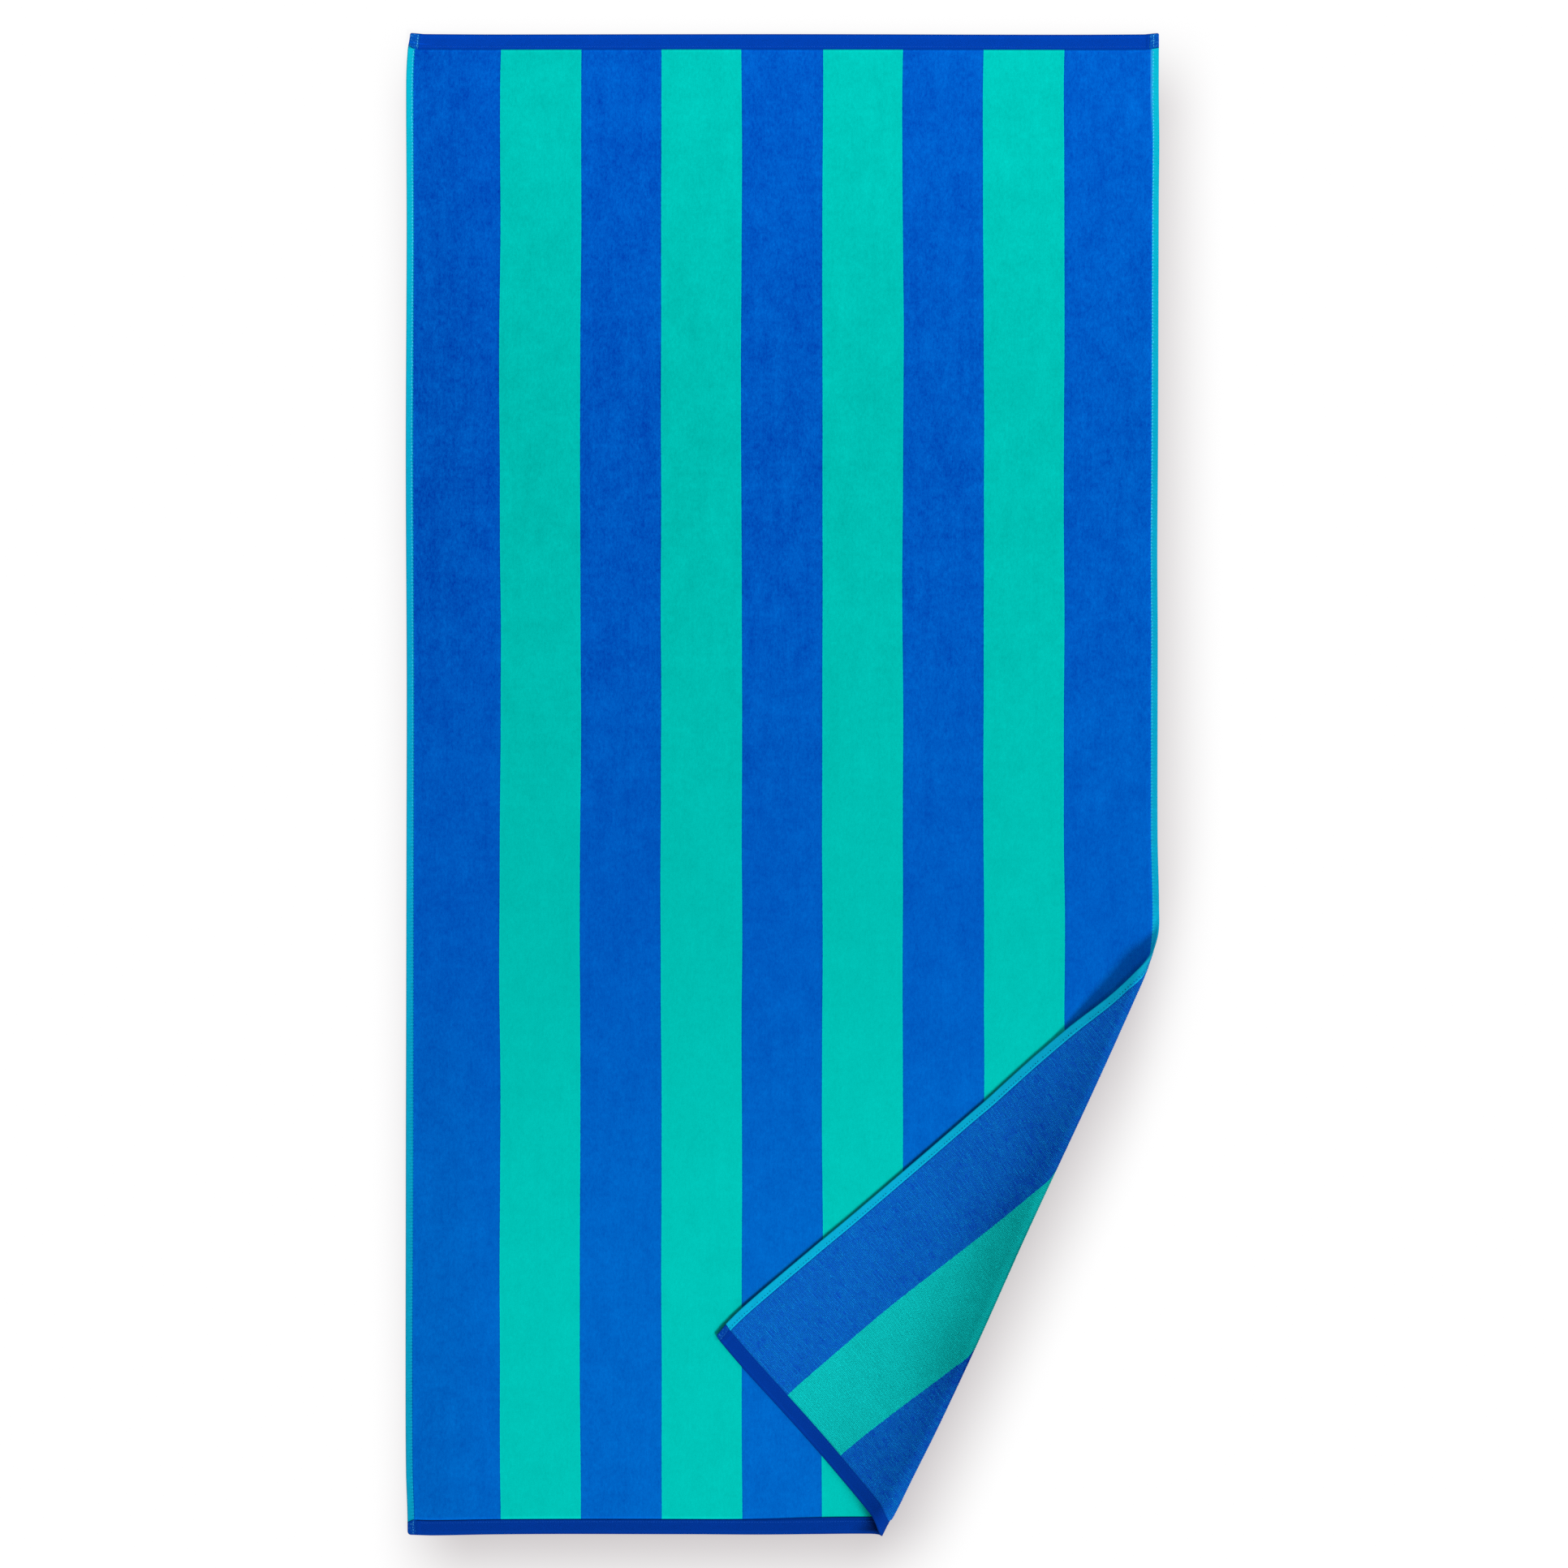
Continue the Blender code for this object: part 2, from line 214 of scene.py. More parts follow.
def fullness(u, v, side_hem, end_hem):
    """How far the pile has risen beside the hems: 0 on a hem, 1 on the pile."""
    beside = rise(from_side(u), side_hem, side_hem + PILE_STEP)
    above = rise(from_end(v), end_hem, end_hem + PILE_STEP)
    return beside * above


def corner_bulk(u, v):
    """1 on the bulky ends of the end hems."""
    beyond = rise(from_side(u), CORNER_PATCH, CORNER_PATCH + PILE_STEP)
    above = rise(from_end(v), END_HEM - PILE_STEP, END_HEM)
    return (1 - beyond) * (1 - above)


def loop_tilt(radius, descent):
    """How steeply the upper layer starts down, so that it lands on the layer below."""
    tilt = np.zeros_like(radius)
    for _ in range(8):
        tilt = 3 * (radius * (1 + np.cos(tilt)) - LANDING) / descent
    return tilt


def section(across, radius, bulge):
    """The fold's section at distances across the flat cloth.

    Gives how far out its middle surface is, its height and its heading."""
    descent = DESCENT + DESCENT_PER_RADIUS * radius
    tilt = loop_tilt(radius, descent)
    bend = (np.pi + tilt) * radius
    slack = tilt**2 * descent / 10
    start = -(bend - radius * np.sin(tilt) + slack) / 2 + bulge
    arc = (across - start) * (bend + descent) / (bend + descent - 2 * bulge)
    turn = np.clip(arc / radius, 0.0, np.pi + tilt)
    left = 1 - np.clip((arc - bend) / descent, 0.0, 1.0)
    down_out = start - radius * np.sin(tilt) - (arc - bend) + slack * (1 - left**5)
    down_height = LANDING + tilt * descent / 3 * left**3
    spans = [arc <= 0, arc <= bend, arc >= bend + descent]  # before the bend, in it and landed
    out = np.select(spans, [across, start + radius * np.sin(turn), -across], down_out)
    height = np.select(spans, [0.0, radius * (1 - np.cos(turn)), LANDING], down_height)
    heading = np.select(spans, [0.0, turn, np.pi], np.pi + tilt * left**2)
    return out, height, heading


def strayed(u, v):
    """The point of the flat cloth as its uneven edges lie."""
    to_right = u / WIDTH + 0.5
    to_top = v / LENGTH + 0.5
    shift_u = curve(RIGHT_ROWS, v) * to_right - curve(LEFT_ROWS, v) * (1 - to_right)
    shift_v = curve(UPPER_ROWS, u) * to_top - curve(LOWER_ROWS, u) * (1 - to_top)
    return u + shift_u * np.abs(2 * to_right - 1) ** 2, v + shift_v * np.abs(2 * to_top - 1) ** 6


def to_crease(u, v):
    """Distances along and across the crease."""
    du = u - SIDE_POINT[0]
    dv = v - SIDE_POINT[1]
    return du * ALONG[0] + dv * ALONG[1], du * ACROSS[0] + dv * ACROSS[1]


def place(u, v):
    """Where points of the towel's back lie.

    Also gives how far over they are turned, 0 to 1, and how far inside the fold's outer edge they are."""
    along, across = to_crease(*strayed(u, v))
    radius = curve(LOOP_ROWS, along)
    bulge = curve(LOOP_ROWS, along, 2)
    out, height, heading = section(across, radius, bulge)
    turned = (1 - np.cos(heading)) / 2
    out = out + PILE / 2 * np.sin(heading)
    sunk = (PILE - HEM) * (1 - fullness(u, v, BACK_SIDE_HEM, BACK_END_HEM))
    sunk = sunk - (CORNER - HEM) * corner_bulk(u, v)
    height = height + PILE / 2 * (1 - np.cos(heading)) - sunk * turned
    grown = np.clip((across - DRAG_START) / (DRAG_FULL - DRAG_START), 0.0, 1.0)
    faded = bump(np.maximum(across - DRAG_FULL, 0.0), DRAG_REACH)
    drag = curve(DRAG_ROWS, along) * (3 - 2 * grown) * grown**2 * faded
    at_nose = np.sin(heading / 2) ** 2 * bump(across, NOSE_ACROSS)
    push = NOSE_PUSH * at_nose * bump(v + LENGTH / 2, NOSE_ALONG)
    draw = NOSE_DRAW * at_nose * bump(np.maximum(v + LENGTH / 2 - END_HEM, 0.0), HEM_EASE)
    across_now = out - draw
    along_now = along + drag + push
    x = SIDE_POINT[0] + ACROSS[0] * across_now + ALONG[0] * along_now
    y = SIDE_POINT[1] + ACROSS[1] * across_now + ALONG[1] * along_now
    height = height + np.where(across < 0, lifted(u, v, LIFTS) * (1 - turned), 0.0)
    height = height + lifted(u, v, FLAP_LIFTS) * turned
    edge = section(np.zeros_like(along), radius, bulge)[0] + PILE / 2
    return np.stack((x, y, height), -1), turned, edge - out


def unit(vectors):
    return vectors / np.linalg.norm(vectors, axis=-1, keepdims=True)


def normal_of(u, v):
    """The direction from the back to the face."""
    du = place(u + NEAR, v)[0] - place(u - NEAR, v)[0]
    dv = place(u, v + NEAR)[0] - place(u, v - NEAR)[0]
    return unit(np.cross(du, dv))


def painted_shading(u, v, turned, inset):
    """Painted shade where the turned cloth bends, partly its opening pile, and painted light far from the
    fold.
    """
    tone = curve(FOLD_SHADE_ROWS, inset)
    stronger = curve(FOLD_SHADE_ALONG_ROWS, to_crease(u, v)[0])
    return np.where(tone < 0, tone * stronger, tone) * rise(turned, 0.0, 0.5)


def inside_fold_shade(u, v):
    """Painted shade on the face inside the fold's open lower end."""
    inside = rise(to_crease(u, v)[1], INSIDE_SHADE_FROM, INSIDE_SHADE_TO) * rise(from_end(v), *INSIDE_SHADE_LIP)
    return INSIDE_SHADE * inside * bump(from_end(v), INSIDE_SHADE_REACH) * (v < 0)


def flap_edge(count=400):
    """Points of the turned-over side edge from the tip to the fold, its direction and its left."""
    vs = np.linspace(-LENGTH / 2, SIDE_POINT[1] - HEM_AWAY, count)
    edge = place(np.full(count, WIDTH / 2), vs)[0][:, :2]
    run = unit(edge[-1] - edge[0])
    return edge, run, np.array((-run[1], run[0]))


def hem_shadow(u, v):
    """A painted shadow on the face close beside the turned-over side hem."""
    edge, run, beside = flap_edge()
    offset = place(u, v)[0][:, :2] - edge[0]
    along = offset @ run
    away = offset @ beside - np.interp(along, (edge - edge[0]) @ run, (edge - edge[0]) @ beside)
    reach = np.dot(edge[-1] - edge[0], run)
    faded = 1 - (1 - CONTACT_AT_FOLD) * rise(along, CONTACT_FADES[0] * reach, CONTACT_FADES[1] * reach)
    within = rise(along, *CONTACT_STARTS) * (1 - rise(along, CONTACT_ENDS * reach, reach))
    close = 1 - rise(away, CONTACT_FULL, CONTACT_REACH)
    return CONTACT_SHADOW * close * faded * within * (away > CONTACT_UNDER)


def rounded(u, v):
    """The flat cloth with its corners rounded."""
    radius = np.where((u < 0) & (v < 0), LOWER_LEFT_ROUNDING, ROUNDING)
    beyond_u = np.maximum(radius - from_side(u), 0.0)
    beyond_v = np.maximum(radius - from_end(v), 0.0)
    reach = np.maximum(np.hypot(beyond_u, beyond_v), 1e-9)
    excess = 1 - np.maximum(beyond_u, beyond_v) / reach
    return u - np.sign(u) * beyond_u * excess, v - np.sign(v) * beyond_v * excess


def layers(u, v):
    """The cloth's surfaces at points of the flat cloth: back, face and the normal."""
    back, turned, _ = place(*rounded(u, v))
    normal = normal_of(u, v)
    on_face = fullness(u, v, SIDE_HEM, END_HEM)
    on_back = fullness(u, v, BACK_SIDE_HEM, BACK_END_HEM)
    pile = on_face * (1 - turned) + on_back * turned
    thick = HEM + (PILE - HEM) * pile + (CORNER - HEM) * corner_bulk(u, v)
    inside = np.minimum(from_side(u), from_end(v))
    round_off = np.sqrt(1 - (1 - np.clip(inside / EDGE_RADIUS, 0.0, 1.0)) ** 2)
    middle = back + normal * (thick / 2)[:, None]
    half = normal * (thick / 2 * round_off)[:, None]
    return middle - half, middle + half, normal


# ---- meshes


def linked(name, data):
    """An object of the scene with that data."""
    made = bpy.data.objects.new(name, data)
    bpy.context.scene.collection.objects.link(made)
    return made


def new_mesh(name, points, polygons, uvs, attributes, materials, slots=None):
    """An object from arrays; polygons list their points, which each have a uv and attributes."""
    sizes = np.array([len(p) for p in polygons], np.int32)
    corners = np.concatenate([np.asarray(p, np.int32) for p in polygons])
    data = bpy.data.meshes.new(name)
    data.vertices.add(len(points))
    data.vertices.foreach_set("co", np.asarray(points, np.float32).ravel())
    data.loops.add(len(corners))
    data.loops.foreach_set("vertex_index", corners)
    data.polygons.add(len(sizes))
    data.polygons.foreach_set("loop_start", np.concatenate(([0], np.cumsum(sizes)[:-1])).astype(np.int32))
    if slots is not None:
        data.polygons.foreach_set("material_index", np.asarray(slots, np.int32))
    data.polygons.foreach_set("use_smooth", np.ones(len(sizes), bool))
    data.update(calc_edges=True)
    layer = data.uv_layers.new(name=CLOTH_UV)
    layer.data.foreach_set("uv", np.asarray(uvs, np.float32)[corners].ravel())
    for key, values in attributes.items():
        attribute = data.attributes.new(key, "FLOAT", "POINT")
        attribute.data.foreach_set("value", np.asarray(values, np.float32))
    for material in materials:
        data.materials.append(material)
    data.validate()
    return linked(name, data)


def scatter(name, form, polygons, spots, axes, sizes, uvs, attributes, material):
    """One joined mesh with a copy of a small form at each spot.

    axes are three arrays of directions for the form's x, y and z, sizes has a scale along each, and each
    attribute has a value for each spot."""
    form = np.asarray(form, float)
    points = np.repeat(spots[:, None, :], len(form), axis=1)
    for k in range(3):
        points = points + form[None, :, k, None] * (axes[k] * sizes[:, k, None])[:, None, :]
    count = len(form)
    polygons = np.asarray(polygons)
    firsts = np.arange(len(spots))[:, None, None] * count
    faces = (firsts + polygons).reshape(-1, polygons.shape[1])
    all_uvs = np.repeat(uvs, count, axis=0)
    values = {key: np.repeat(each, count) for key, each in attributes.items()}
    return new_mesh(name, points.reshape(-1, 3), faces, all_uvs, values, [material])


def swung(x_axis, y_axis, angle):
    """Two directions at each spot, turned in their plane by its angle."""
    cosine = np.cos(angle)[:, None]
    sine = np.sin(angle)[:, None]
    return x_axis * cosine + y_axis * sine, y_axis * cosine - x_axis * sine


def varied(random, sizes, shares, count):
    """Sizes along three axes for each spot, each varied by its share."""
    return np.stack([size * random.normal(1, share, count) for size, share in zip(sizes, shares)], -1)


def spread(low, high, pitch):
    """Points that divide a stretch evenly, about a pitch apart, without its ends."""
    count = max(1, round((high - low) / pitch))
    return [low + (high - low) * i / count for i in range(1, count)]


def grid_lines(half, distances):
    """Lines across the flat cloth: at set distances inside both edges, and evenly between them."""
    inner = half - distances[-1]
    edges = [half - d for d in distances]
    return sorted([-x for x in edges] + spread(-inner, inner, CELL) + edges)


def flat_cloth():
    """The flat rectangle as a fine mesh: points (u, v) and polygons."""
    us = grid_lines(WIDTH / 2, HEM_LINES + STEP_LINES + PATCH_LINES)
    vs = grid_lines(LENGTH / 2, HEM_LINES[:-2] + END_LINES)
    mesh = bmesh.new()
    rows = [[mesh.verts.new((u, v, 0.0)) for u in us] for v in vs]
    for low, high in zip(rows, rows[1:]):
        for i in range(len(us) - 1):
            mesh.faces.new((low[i], low[i + 1], high[i + 1], high[i]))
    lines = spread(-LOOP_REACH, LOOP_REACH, LOOP_CUT) + [-LOOP_REACH, LOOP_REACH]
    lines += spread(LOOP_REACH, DESCENT_REACH, DESCENT_CUT)
    cut(mesh, SIDE_POINT, ACROSS, sorted(lines))
    edge, _, beside = flap_edge()
    cut(mesh, edge[0], beside, [CONTACT_CUT * i for i in range(-3, 8)])
    mesh.verts.index_update()
    points = np.array([v.co.xy for v in mesh.verts])
    polygons = [[v.index for v in f.verts] for f in mesh.faces]
    mesh.free()
    return points, polygons


def cut(mesh, spot, beside, distances):
    """Cuts the flat cloth along lines at those distances beside a spot."""
    for distance in distances:
        near = [f for f in mesh.faces if abs(away_of(f, spot, beside) - distance) < 2 * CELL]
        edges = {e for f in near for e in f.edges}
        verts = {v for f in near for v in f.verts}
        at = spot + beside * distance
        plane = {"plane_co": (*at, 0.0), "plane_no": (*beside, 0.0)}
        bmesh.ops.bisect_plane(mesh, geom=[*near, *edges, *verts], dist=1e-5, **plane)


def away_of(face, spot, beside):
    """Distance of a flat face's centre beside a spot."""
    centre = face.calc_center_median()
    return (centre.x - spot[0]) * beside[0] + (centre.y - spot[1]) * beside[1]


FACE, BACK = 0, 1  # the two sides of the cloth


def kind_of(u, v, side):
    """Which kind of cloth a point is: 0 pile, 1 end hem, 2 side hem."""
    end_hem = (END_HEM, BACK_END_HEM)[side]
    side_hem = (SIDE_HEM, BACK_SIDE_HEM)[side]
    return np.where(from_end(v) < end_hem, 1, np.where(from_side(u) < side_hem, 2, 0))


def towel_cloth(materials):
    """The whole cloth as one closed sheet, face and back sharing their outer edge."""
    flat, polygons = flat_cloth()
    u, v = flat.T
    back, face, _ = layers(u, v)
    _, turned, inset = place(u, v)
    # Inside the outer edge the back has points of its own.
    inner = np.nonzero(np.minimum(from_side(u), from_end(v)) >= 1e-6)[0]
    twin = np.arange(len(flat))
    twin[inner] = len(flat) + np.arange(len(inner))
    faces = polygons + [[twin[i] for i in reversed(p)] for p in polygons]
    centres = np.array([flat[p].mean(axis=0) for p in polygons]).T
    back_slots = np.choose(kind_of(*centres, BACK), (3, 1, 4))
    slots = np.concatenate((kind_of(*centres, FACE), back_slots))
    points = np.concatenate((face, back[inner]))
    uvs = np.concatenate((flat, flat[inner]))
    # the face's painted shade inside the fold and painted shadow beside the turned-over hem
    face_shade = inside_fold_shade(u, v) + hem_shadow(u, v) * (turned < 0.5)
    attributes = {
        "turned": np.concatenate((turned, turned[inner])),
        "painted_shading": np.concatenate((face_shade, painted_shading(u, v, turned, inset)[inner])),
    }
    return new_mesh("towel_cloth", points, faces, uvs, attributes, materials, slots)


# ---- terry loops on the back, where it shows

LOOP_ROW = 0.00205  # from one row of loops to the next
LOOP_PITCH = 0.00145  # between the loops of a row
LOOP_FORM = (  # an arch of three triangles: a foot, the crown and the other foot
    (-0.5, -0.42, -0.35), (0.0, -0.62, 0.10), (0.5, -0.42, -0.35),
    (-0.42, 0.0, 0.55), (0.0, 0.0, 1.0), (0.42, 0.0, 0.55),
    (-0.5, 0.42, -0.35), (0.0, 0.62, 0.10), (0.5, 0.42, -0.35),
)
LOOP_SIDES = ((0, 1, 4, 3), (1, 2, 5, 4), (2, 0, 3, 5), (3, 4, 7, 6), (4, 5, 8, 7), (5, 3, 6, 8))
LOOP_SIZES = (0.00128, 0.00142, 0.0008)  # along a row, across it and up
LOOP_SHARES = (0.08, 0.07, 0.1)  # how much those vary
LOOP_ASTRAY = 0.00018
LOOP_SWING = 0.11
LOOP_SUNK = 0.0003
LOOP_PIECES = 4
STRETCH = 6  # loops of a row that lean alike
LEAN = 0.16
LEAN_ALONE = (0.07, 0.09)  # along and across the cloth
LEAN_LIGHT = 0.08
LOOP_TONE = 0.055
FLECKS = 0.07  # share of the loops that stand out lighter
FLECK_TONE = 0.22
FIRST_LOOPS = 0.2  # how far over the cloth is turned where the modelled loops begin
FIRST_SOONER = 0.16  # how much sooner at the end hem
SOONER_WITHIN = (0.012, 0.004)  # of that hem: where this begins and is whole
LOOPS_ACROSS = -0.03  # where they begin at the earliest, across the crease
GRID_BEYOND = 0.06
HEM_OVERHANG = 0.007  # how far the pile leans over the side hem at the fold's upper end
HEM_OVERHANG_REACH = 0.096


def terry_loops(material):
    """The loops of the turned-over corner and the fold, joined into a few pieces."""
    random = np.random.default_rng(SEED)
    inner_side = WIDTH / 2 - BACK_SIDE_HEM - PILE_STEP / 2
    inner_end = LENGTH / 2 - BACK_END_HEM - PILE_STEP / 2
    us = np.arange(END_POINT[0] - GRID_BEYOND, inner_side + HEM_OVERHANG, LOOP_PITCH)
    vs = np.arange(-inner_end, SIDE_POINT[1] + GRID_BEYOND, LOOP_ROW)
    grid_u, grid_v = np.meshgrid(us, vs)
    rows, columns = grid_u.shape
    grid_u = grid_u + (np.arange(rows) % 2)[:, None] * LOOP_PITCH / 2
    u = (grid_u + random.normal(0, LOOP_ASTRAY, grid_u.shape)).ravel()
    v = (grid_v + random.normal(0, LOOP_ASTRAY, grid_v.shape)).ravel()
    # Stretches of a row lean the same way, and so catch the light alike.
    leans = random.normal(0, 1, (rows, columns // STRETCH + 2))
    lean = np.repeat(leans, STRETCH, axis=1)[:, :columns].ravel()
    spots, turned, inset = place(u, v)
    along, across = to_crease(u, v)
    overhang = HEM_OVERHANG * bump(along, HEM_OVERHANG_REACH)
    sooner = rise(v, SOONER_WITHIN[0] - inner_end, SOONER_WITHIN[1] - inner_end)
    first = FIRST_LOOPS - FIRST_SOONER * sooner
    shown = (turned > first) & (u < inner_side + overhang) & (across > LOOPS_ACROSS)
    u, v, lean, spots = u[shown], v[shown], lean[shown], spots[shown]
    # the loops carry the fold's painted shade and light too
    fold_shading = painted_shading(u, v, turned[shown], inset[shown])
    count = len(u)
    normal = -normal_of(u, v)
    along_v = unit(place(u, v + NEAR)[0] - spots)
    along_u = np.cross(along_v, normal)
    x_axis, y_axis = swung(along_u, along_v, random.normal(0, LOOP_SWING, count))
    z_axis = normal + along_v * (LEAN * lean + random.normal(0, LEAN_ALONE[0], count))[:, None]
    z_axis = z_axis + along_u * random.normal(0, LEAN_ALONE[1], count)[:, None]
    sizes = varied(random, LOOP_SIZES, LOOP_SHARES, count)
    flecks = random.random(count) < FLECKS
    # each loop's tone: painted light by its lean, with random tone and lighter flecks
    tones = LEAN_LIGHT * lean + random.normal(0, LOOP_TONE, count) + FLECK_TONE * flecks
    order = np.argsort(to_crease(u, v)[0])
    pieces = []
    for i, part in enumerate(np.array_split(order, LOOP_PIECES)):
        name = f"terry_loops_{i + 1}"
        feet = spots[part] - normal[part] * LOOP_SUNK
        axes = (x_axis[part], y_axis[part], z_axis[part])
        flat = np.stack((u[part], v[part]), -1)
        values = {"tone": tones[part], "painted_shading": fold_shading[part]}
        pieces.append(scatter(name, LOOP_FORM, LOOP_SIDES, feet, axes, sizes[part], flat, values, material))
    return pieces


# ---- stitches

STITCH_RINGS = ((-1.0, 0.3), (-0.62, 0.86), (0.0, 1.0), (0.62, 0.86), (1.0, 0.3))  # place along, thickness
STITCH_SIDES = 6
THREAD = 0.00042  # radius
SIDE_STITCH = 0.0039  # pitch
SIDE_STITCH_IN = 0.0071  # from the edge
END_STITCH_IN = 0.015
BACK_STITCH = 0.004
BACK_STITCH_IN = 0.007
SIDE_STITCHES = (SIDE_STITCH, 0.0026, THREAD * 1.3, 0.00022)  # pitch, length, thread's radius, wander
END_STITCHES = (0.0031, 0.002, THREAD * 0.7, 0.0001)
CORNER_STITCHES = (0.003, 0.0021, THREAD * 0.95, 0.0002)
CORNER_FROM = 0.0015  # from the end of the cloth
CORNER_TO = 0.0165
CORNERS = (  # name, which side and end, side of the cloth, distance from the edge
    ("upper_left", -1, 1, FACE, 0.0102),
    ("upper_right", 1, 1, FACE, 0.0064),
    ("lower_left", -1, -1, FACE, 0.0068),
    ("tip", 1, -1, BACK, 0.0064),
)
SHORT_OF = 0.002  # how far before the corners the long rows end
STITCH_SHARES = (0.08, 0.1, 0.1)  # how much a stitch's length, width and height vary
STITCH_SWING = 0.1
STITCH_TONE = 0.08
STITCH_NEAR = 3e-4
STITCH_ASTRAY = 0.06  # of the pitch
FLATTENED = 0.8  # a stitch's height to its width


def stitch_form():
    """A stitch along x, thicker in the middle, with narrow ends."""
    angles = [2 * math.pi * k / STITCH_SIDES for k in range(STITCH_SIDES)]
    form = [(at, thick * math.cos(a), thick * math.sin(a)) for at, thick in STITCH_RINGS for a in angles]
    polygons = []
    for ring in range(len(STITCH_RINGS) - 1):
        for k in range(STITCH_SIDES):
            a = ring * STITCH_SIDES + k
            b = ring * STITCH_SIDES + (k + 1) % STITCH_SIDES
            polygons.append((a, a + STITCH_SIDES, b + STITCH_SIDES, b))
    return form, polygons


def stitch_row(name, start, end, side, stitches, material, seed):
    """A row of stitches from one point of the flat cloth to another, on one side of it."""
    pitch, length, thread, wander = stitches
    random = np.random.default_rng(seed)
    start = np.array(start)
    end = np.array(end)
    reach = np.linalg.norm(end - start)
    count = max(2, int(reach / pitch))
    share = (np.arange(count) + 0.5) / count
    heading = (end - start) / reach
    beside = np.array((-heading[1], heading[0]))
    flat = start + (end - start) * share[:, None]
    flat = flat + beside * random.normal(0, wander, count)[:, None]
    flat = flat + heading * random.normal(0, pitch * STITCH_ASTRAY, count)[:, None]
    back, face, normal = layers(*flat.T)
    spots = (face, back)[side]
    up = normal * (1 if side == FACE else -1)
    if side == BACK:
        spots = spots - up * thread * FLATTENED
    back, face, _ = layers(*(flat + heading * STITCH_NEAR).T)
    x_axis = unit((face, back)[side] - spots)
    x_axis, y_axis = swung(x_axis, np.cross(up, x_axis), random.normal(0, STITCH_SWING, count))
    sizes = varied(random, (length / 2, thread, thread * FLATTENED), STITCH_SHARES, count)
    form, polygons = stitch_form()
    tones = {"tone": random.normal(0, STITCH_TONE, count)}
    axes = (x_axis, y_axis, up)
    return scatter("stitches_" + name, form, polygons, spots, axes, sizes, flat, tones, material)


# ---- materials


class Material:
    """Short ways to add and link a material's nodes."""

    def __init__(self, name):
        self.material = bpy.data.materials.new(name)
        self.material.use_nodes = True
        self.tree = self.material.node_tree
        self.shader = self.tree.nodes["Principled BSDF"]

    def add(self, kind, inputs=(), **settings):
        made = self.tree.nodes.new(kind)
        for key, value in settings.items():
            setattr(made, key, value)
        for key, value in dict(inputs).items():
            self.put(made.inputs[key], value)
        return made

    def put(self, socket, value):
        if isinstance(value, bpy.types.NodeSocket):
            self.tree.links.new(value, socket)
        else:
            socket.default_value = value

    def math(self, operation, *values):
        made = self.add("ShaderNodeMath", enumerate(values), operation=operation)
        return made.outputs[0]

    def times(self, first, second):
        return self.math("MULTIPLY", first, second)

    def less(self, first, second):
        return self.math("SUBTRACT", first, second)

    def total(self, *parts):
        """The sum of several values, each alone or with its weight."""
        alone = not isinstance(parts[0], tuple)
        result = parts[0] if alone else 0.0
        for part in parts[alone:]:
            value, weight = part if isinstance(part, tuple) else (part, 1.0)
            result = self.math("MULTIPLY_ADD", value, weight, result)
        return result

    def ramp(self, x, start, end):
        """0 at start and before, 1 at end and beyond, smooth between them."""
        made = self.add("ShaderNodeMapRange", {0: x, 1: start, 2: end}, interpolation_type="SMOOTHSTEP")
        return made.outputs[0]

    def line(self, x, at, reach):
        """1 where x is at a value, falling to 0 at a reach from it."""
        return self.ramp(self.math("ABSOLUTE", self.less(x, at)), reach, reach * 0.3)

    def mix(self, share, low, high, blend="MIX"):
        made = self.add("ShaderNodeMix", data_type="RGBA", blend_type=blend, clamp_factor=True)
        self.put(made.inputs[0], share)
        self.put(made.inputs[6], low)
        self.put(made.inputs[7], high)
        return made.outputs[2]

    def toned(self, colour, tone, tone_green=None):
        """A colour times 1 plus a tone, which may be another one for its green."""
        factor = self.math("ADD", tone, 1.0)
        factor_green = factor if tone_green is None else self.math("ADD", tone_green, 1.0)
        made = self.add("ShaderNodeCombineColor", {0: factor, 1: factor_green, 2: factor})
        return self.mix(1.0, colour, made.outputs[0], "MULTIPLY")

    def uv(self):
        """The flat cloth's own coordinates, in metres."""
        made = self.add("ShaderNodeUVMap", uv_map=CLOTH_UV)
        split = self.add("ShaderNodeSeparateXYZ", {0: made.outputs[0]})
        self.u, self.v = split.outputs[:2]
        return self.u, self.v

    def inside(self, x, size):
        """How far a point is inside the nearer of two opposite edges."""
        return self.less(size / 2, self.math("ABSOLUTE", x))

    def value(self, name):
        """A number that the mesh carries at each point."""
        return self.add("ShaderNodeAttribute", attribute_name=name, attribute_type="GEOMETRY").outputs["Fac"]

    def noise(self, scale_u, scale_v, detail=2, roughness=0.5, seed=0):
        """Noise of -0.5 to 0.5 on the flat cloth, with so many features to a metre each way."""
        spot = {0: self.times(self.u, scale_u), 1: self.times(self.v, scale_v), 2: seed}
        vector = self.add("ShaderNodeCombineXYZ", spot).outputs[0]
        inputs = {"Vector": vector, "Scale": 1.0, "Detail": detail, "Roughness": roughness}
        made = self.add("ShaderNodeTexNoise", inputs, noise_dimensions="3D")
        return self.less(made.outputs["Fac"], 0.5)

    def wave(self, x, pitch, shift=0.0):
        """A sine of -1 to 1 with that pitch."""
        angle = self.math("MULTIPLY_ADD", x, 2 * math.pi / pitch, shift)
        return self.math("SINE", angle)

    def bump(self, height, distance, strength=1.0):
        made = self.add("ShaderNodeBump", {"Height": height, "Distance": distance, "Strength": strength})
        self.put(self.shader.inputs["Normal"], made.outputs[0])

    def colour(self, colour):
        self.put(self.shader.inputs["Base Color"], colour)

    def matt(self, roughness, sheen=0.0, sheen_roughness=0.5, specular=0.0):
        names = ("Roughness", "Specular IOR Level", "Sheen Weight", "Sheen Roughness", "Sheen Tint")
        values = (roughness, specular, sheen, sheen_roughness, SHEEN_TINT)
        for name, value in zip(names, values):
            self.put(self.shader.inputs[name], value)


